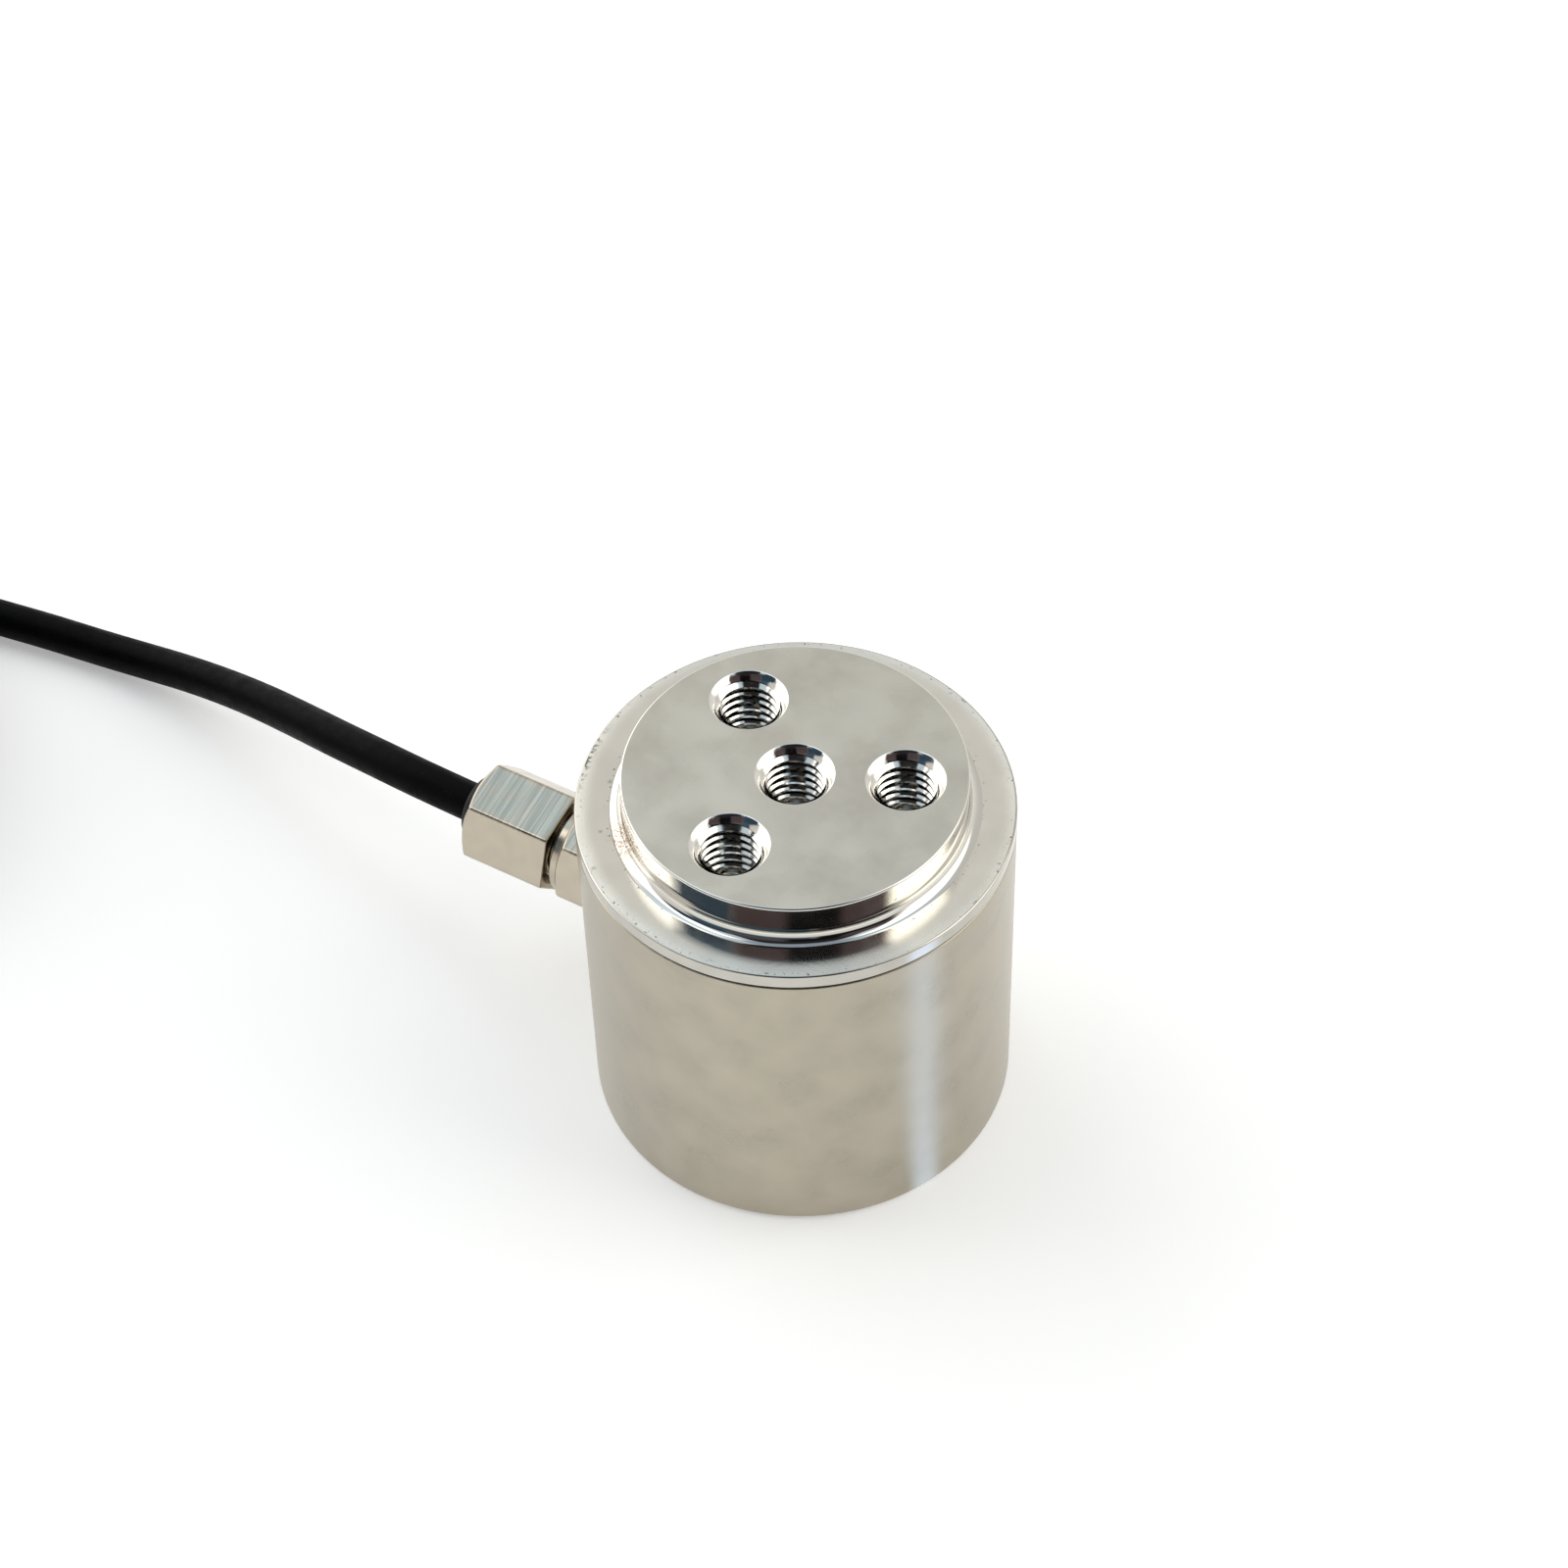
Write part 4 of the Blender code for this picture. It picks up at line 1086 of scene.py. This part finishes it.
def lead_route(index, colour):
    """A core's way from the end of the sheath, round the top of the coil."""
    end = Vector(TAIL_POINTS[-1])
    heading = (end - Vector(TAIL_POINTS[-2])).normalized()
    side = Vector((-heading.y, heading.x, 0))
    arm = end.xy - Vector(COIL_CENTRE)
    rest = COIL_TOP + FIT + CORE_DIAMETER / 2
    offset = core_offset(colour)
    start = end - heading * FIT + side * offset[0] + Vector((0, 0, offset[1]))
    points = [start, start + heading * CORE_DIAMETER]
    for j in range(1, LEAD_STEPS + 1):
        share = j / LEAD_STEPS
        fan = math.sqrt(share)
        radius = arm.length - offset[0] * (1 - fan) + (MIDDLE_CORE - index) * LEAD_SPREAD * fan
        angle = math.atan2(arm.y, arm.x) + LEAD_LENGTH * share / arm.length
        fall = max(0.0, 1 - LEAD_LENGTH * share / LEAD_DROP)
        points.append(at_coil(angle, radius, rest + (start.z - rest) * fall))
    return curve_through(points, LEAD_STEP)


def leads():
    """Each core's coloured cover and its bare strand. The shield drain is tinned all along."""
    made = []
    bare = round(STRIPPED / LEAD_STEP)
    strand = STRAND_RADIUS / (CORE_DIAMETER / 2)
    for index, colour in enumerate(CORE_COLOURS):
        route = lead_route(index, colour)
        look = "tinned" if colour == "shield" else colour
        covered = [(place, 1.0) for place in route[:-bare]]
        stripped = [(place, strand) for place in route[-bare - STRAND_OVERLAP:]]
        cover = tube(f"lead_{colour}_cover", covered, CORE_DIAMETER / 2, CORE_SIDES, [look])
        end = tube(f"lead_{colour}_end", stripped, CORE_DIAMETER / 2, CORE_SIDES, ["tinned"])
        made.append(dressed(cover, look, f"lead_{colour}"))
        made.append(dressed(end, "tinned"))
    return made


def turns_under_tie():
    """The coil's turns where the tie crosses them: distance from the coil's axis, and height."""
    found = []
    route = coil_route()
    for first, second in zip(route, route[1:]):
        before, after = (off_tie(azimuth_at_coil(p)) for p in (first, second))
        if before <= 0 < after < TIE_SIDE_ARC:
            crossing = first.lerp(second, before / (before - after))
            found.append(Vector(((crossing.xy - Vector(COIL_CENTRE)).length, crossing.z)))
    return found


def band_outline(turns, reach):
    """The way of a band drawn tight round the turns, at this distance from their centres."""
    outline = []
    for i in range(TIE_STEPS):
        angle = 2 * math.pi * i / TIE_STEPS
        way = Vector((math.cos(angle), math.sin(angle)))
        outline.append(max(turns, key=way.dot) + way * reach)
    return outline


def cable_tie():
    """A nylon tie drawn tight round the coil's section, with its head on the outer side."""
    turns = turns_under_tie()
    inside = CABLE_DIAMETER / 2 + TIE_SLACK
    place = (Matrix.Translation((*COIL_CENTRE, 0))
             @ Matrix.Rotation(math.radians(TIE_AZIMUTH), 4, "Z")
             @ Matrix.Rotation(math.radians(90), 4, "X"))
    outer = band_outline(turns, inside + TIE_THICKNESS)
    tie = prism("cable_tie_band", outer, -TIE_WIDTH / 2, TIE_WIDTH / 2, "nylon", place)
    cut(tie, prism("hollow", band_outline(turns, inside), -TIE_WIDTH, TIE_WIDTH, "nylon", place))
    middle = (COIL_TOP + TIE_LIFT) / 2
    near = min(p.x for p in outer if p.x > COIL_OUTER and abs(p.y - middle) < TIE_HEAD)
    left, right = near - TIE_THICKNESS / 2, near + TIE_HEAD / 2
    low, high = middle - TIE_HEAD / 2, middle + TIE_HEAD / 2
    outline = [(left, low), (right, low), (right, high), (left, high)]
    head = prism("head", outline, -TIE_HEAD_LENGTH / 2, TIE_HEAD_LENGTH / 2, "nylon", place)
    cut(tie, rounded(head, TIE_HEAD_ROUNDING, segments=3), "UNION")
    polish(rounded(tie, TIE_EDGE, segments=2, limit=TIE_EDGE_LIMIT))
    return dressed(tie, "nylon", "cable_tie")


# Pieces that keep their solids

def inner_pieces():
    for part in frame["record"]["subparts"]:
        node = frame["nodes"][part["node"]]
        if node.hide_render:
            continue
        node.data.materials.clear()
        node.data.materials.append(material(part["material_slot"]))
        soften(node.data, SOLID_CREASE)


# Camera, floor and light

def camera():
    data = bpy.data.cameras.new("camera")
    data.sensor_fit = "HORIZONTAL"
    data.sensor_width = CAMERA_SENSOR
    data.lens = CAMERA_LENS
    made = add("camera", data)
    aim = (CAMERA_TARGET - CAMERA_PLACE).to_track_quat("-Z", "Y").to_matrix().to_4x4()
    roll = Matrix.Rotation(math.radians(CAMERA_ROLL), 4, "Z")
    made.matrix_world = Matrix.Translation(CAMERA_PLACE) @ aim @ roll
    bpy.context.scene.camera = made


def camera_azimuth():
    away = CAMERA_PLACE - CAMERA_TARGET
    return math.atan2(away.y, away.x)


def floor():
    """A pale floor. Its bright strip shows in what mirrors it, and not on the floor itself."""
    shape = bmesh.new()
    bmesh.ops.create_grid(shape, x_segments=1, y_segments=1, size=FLOOR_HALF_SIDE)
    made = finished("floor", shape)
    made.location.z = -FLOOR_DROP
    look = Look("floor", FLOOR_COLOUR, FLOOR_ROUGHNESS, Specular_IOR_Level=0.0,
                Emission_Strength=1.0)
    azimuth = look.azimuth(look.vector("SUBTRACT", look.place, STRIP_APEX)[0])
    strip = look.band(look.maths("SUBTRACT", azimuth, STRIP_AZIMUTH), STRIP_HALF_WIDTH,
                      STRIP_SOFT)
    close = look.spread(look.radius(), STRIP_LENGTH, STRIP_END, 1.0, 0.0)
    mirrored = look.node("ShaderNodeLightPath").outputs["Is Glossy Ray"]
    strip = look.maths("MULTIPLY", look.maths("MULTIPLY", strip, close), mirrored)
    look.link(look.mix(strip, FLOOR_GLOW, STRIP_GLOW), look.shader.inputs["Emission Color"])
    made.data.materials.append(look.material)


def sky():
    """Soft light from all round, with brighter and darker patches that the metal mirrors."""
    world = bpy.data.worlds.new("room")
    world.use_nodes = True
    bpy.context.scene.world = world
    world.node_tree.nodes.clear()
    room = Nodes(world.node_tree)
    direction = room.node("ShaderNodeTexCoord").outputs["Generated"]
    direction = room.node("ShaderNodeVectorRotate",
                          (("Vector", direction), ("Angle", -camera_azimuth())),
                          rotation_type="Z_AXIS").outputs[0]
    azimuth = room.azimuth(direction)
    elevation = room.maths("DEGREES", room.maths("ARCSINE", room.parts(direction)["Z"]))
    colour = room.mix(room.spread(elevation, *MIDDLE_RISE), SKY_HORIZON, SKY_MIDDLE)
    colour = room.mix(room.spread(elevation, *ZENITH_RISE), colour, SKY_ZENITH)
    for left, right, low, high, soft, tone in SKY_PATCHES:
        turn = room.maths("SUBTRACT", azimuth, (left + right) / 2)
        turn = room.maths("WRAP", turn, 180.0, -180.0)
        rise = room.maths("SUBTRACT", elevation, (low + high) / 2)
        inside = room.maths("MULTIPLY", room.band(turn, (right - left) / 2, soft),
                            room.band(rise, (high - low) / 2, soft))
        colour = room.mix(inside, colour, tone)
    seen = room.node("ShaderNodeLightPath").outputs["Is Camera Ray"]
    colour = room.mix(seen, colour, BACKDROP)
    light = room.node("ShaderNodeBackground", (("Color", colour), ("Strength", 1.0)))
    room.node("ShaderNodeOutputWorld", (("Surface", light.outputs[0]),))


def studio():
    floor()
    sky()
    settings = bpy.context.scene.view_settings
    settings.view_transform = "Standard"
    settings.look = "None"


camera()
wire = cable()
ends = leads()
tie = cable_tie()
seal = gland_seal()
body = gland_body()
nut = gland_nut()
load_element()
housing_sleeve()
inner_pieces()
studio()
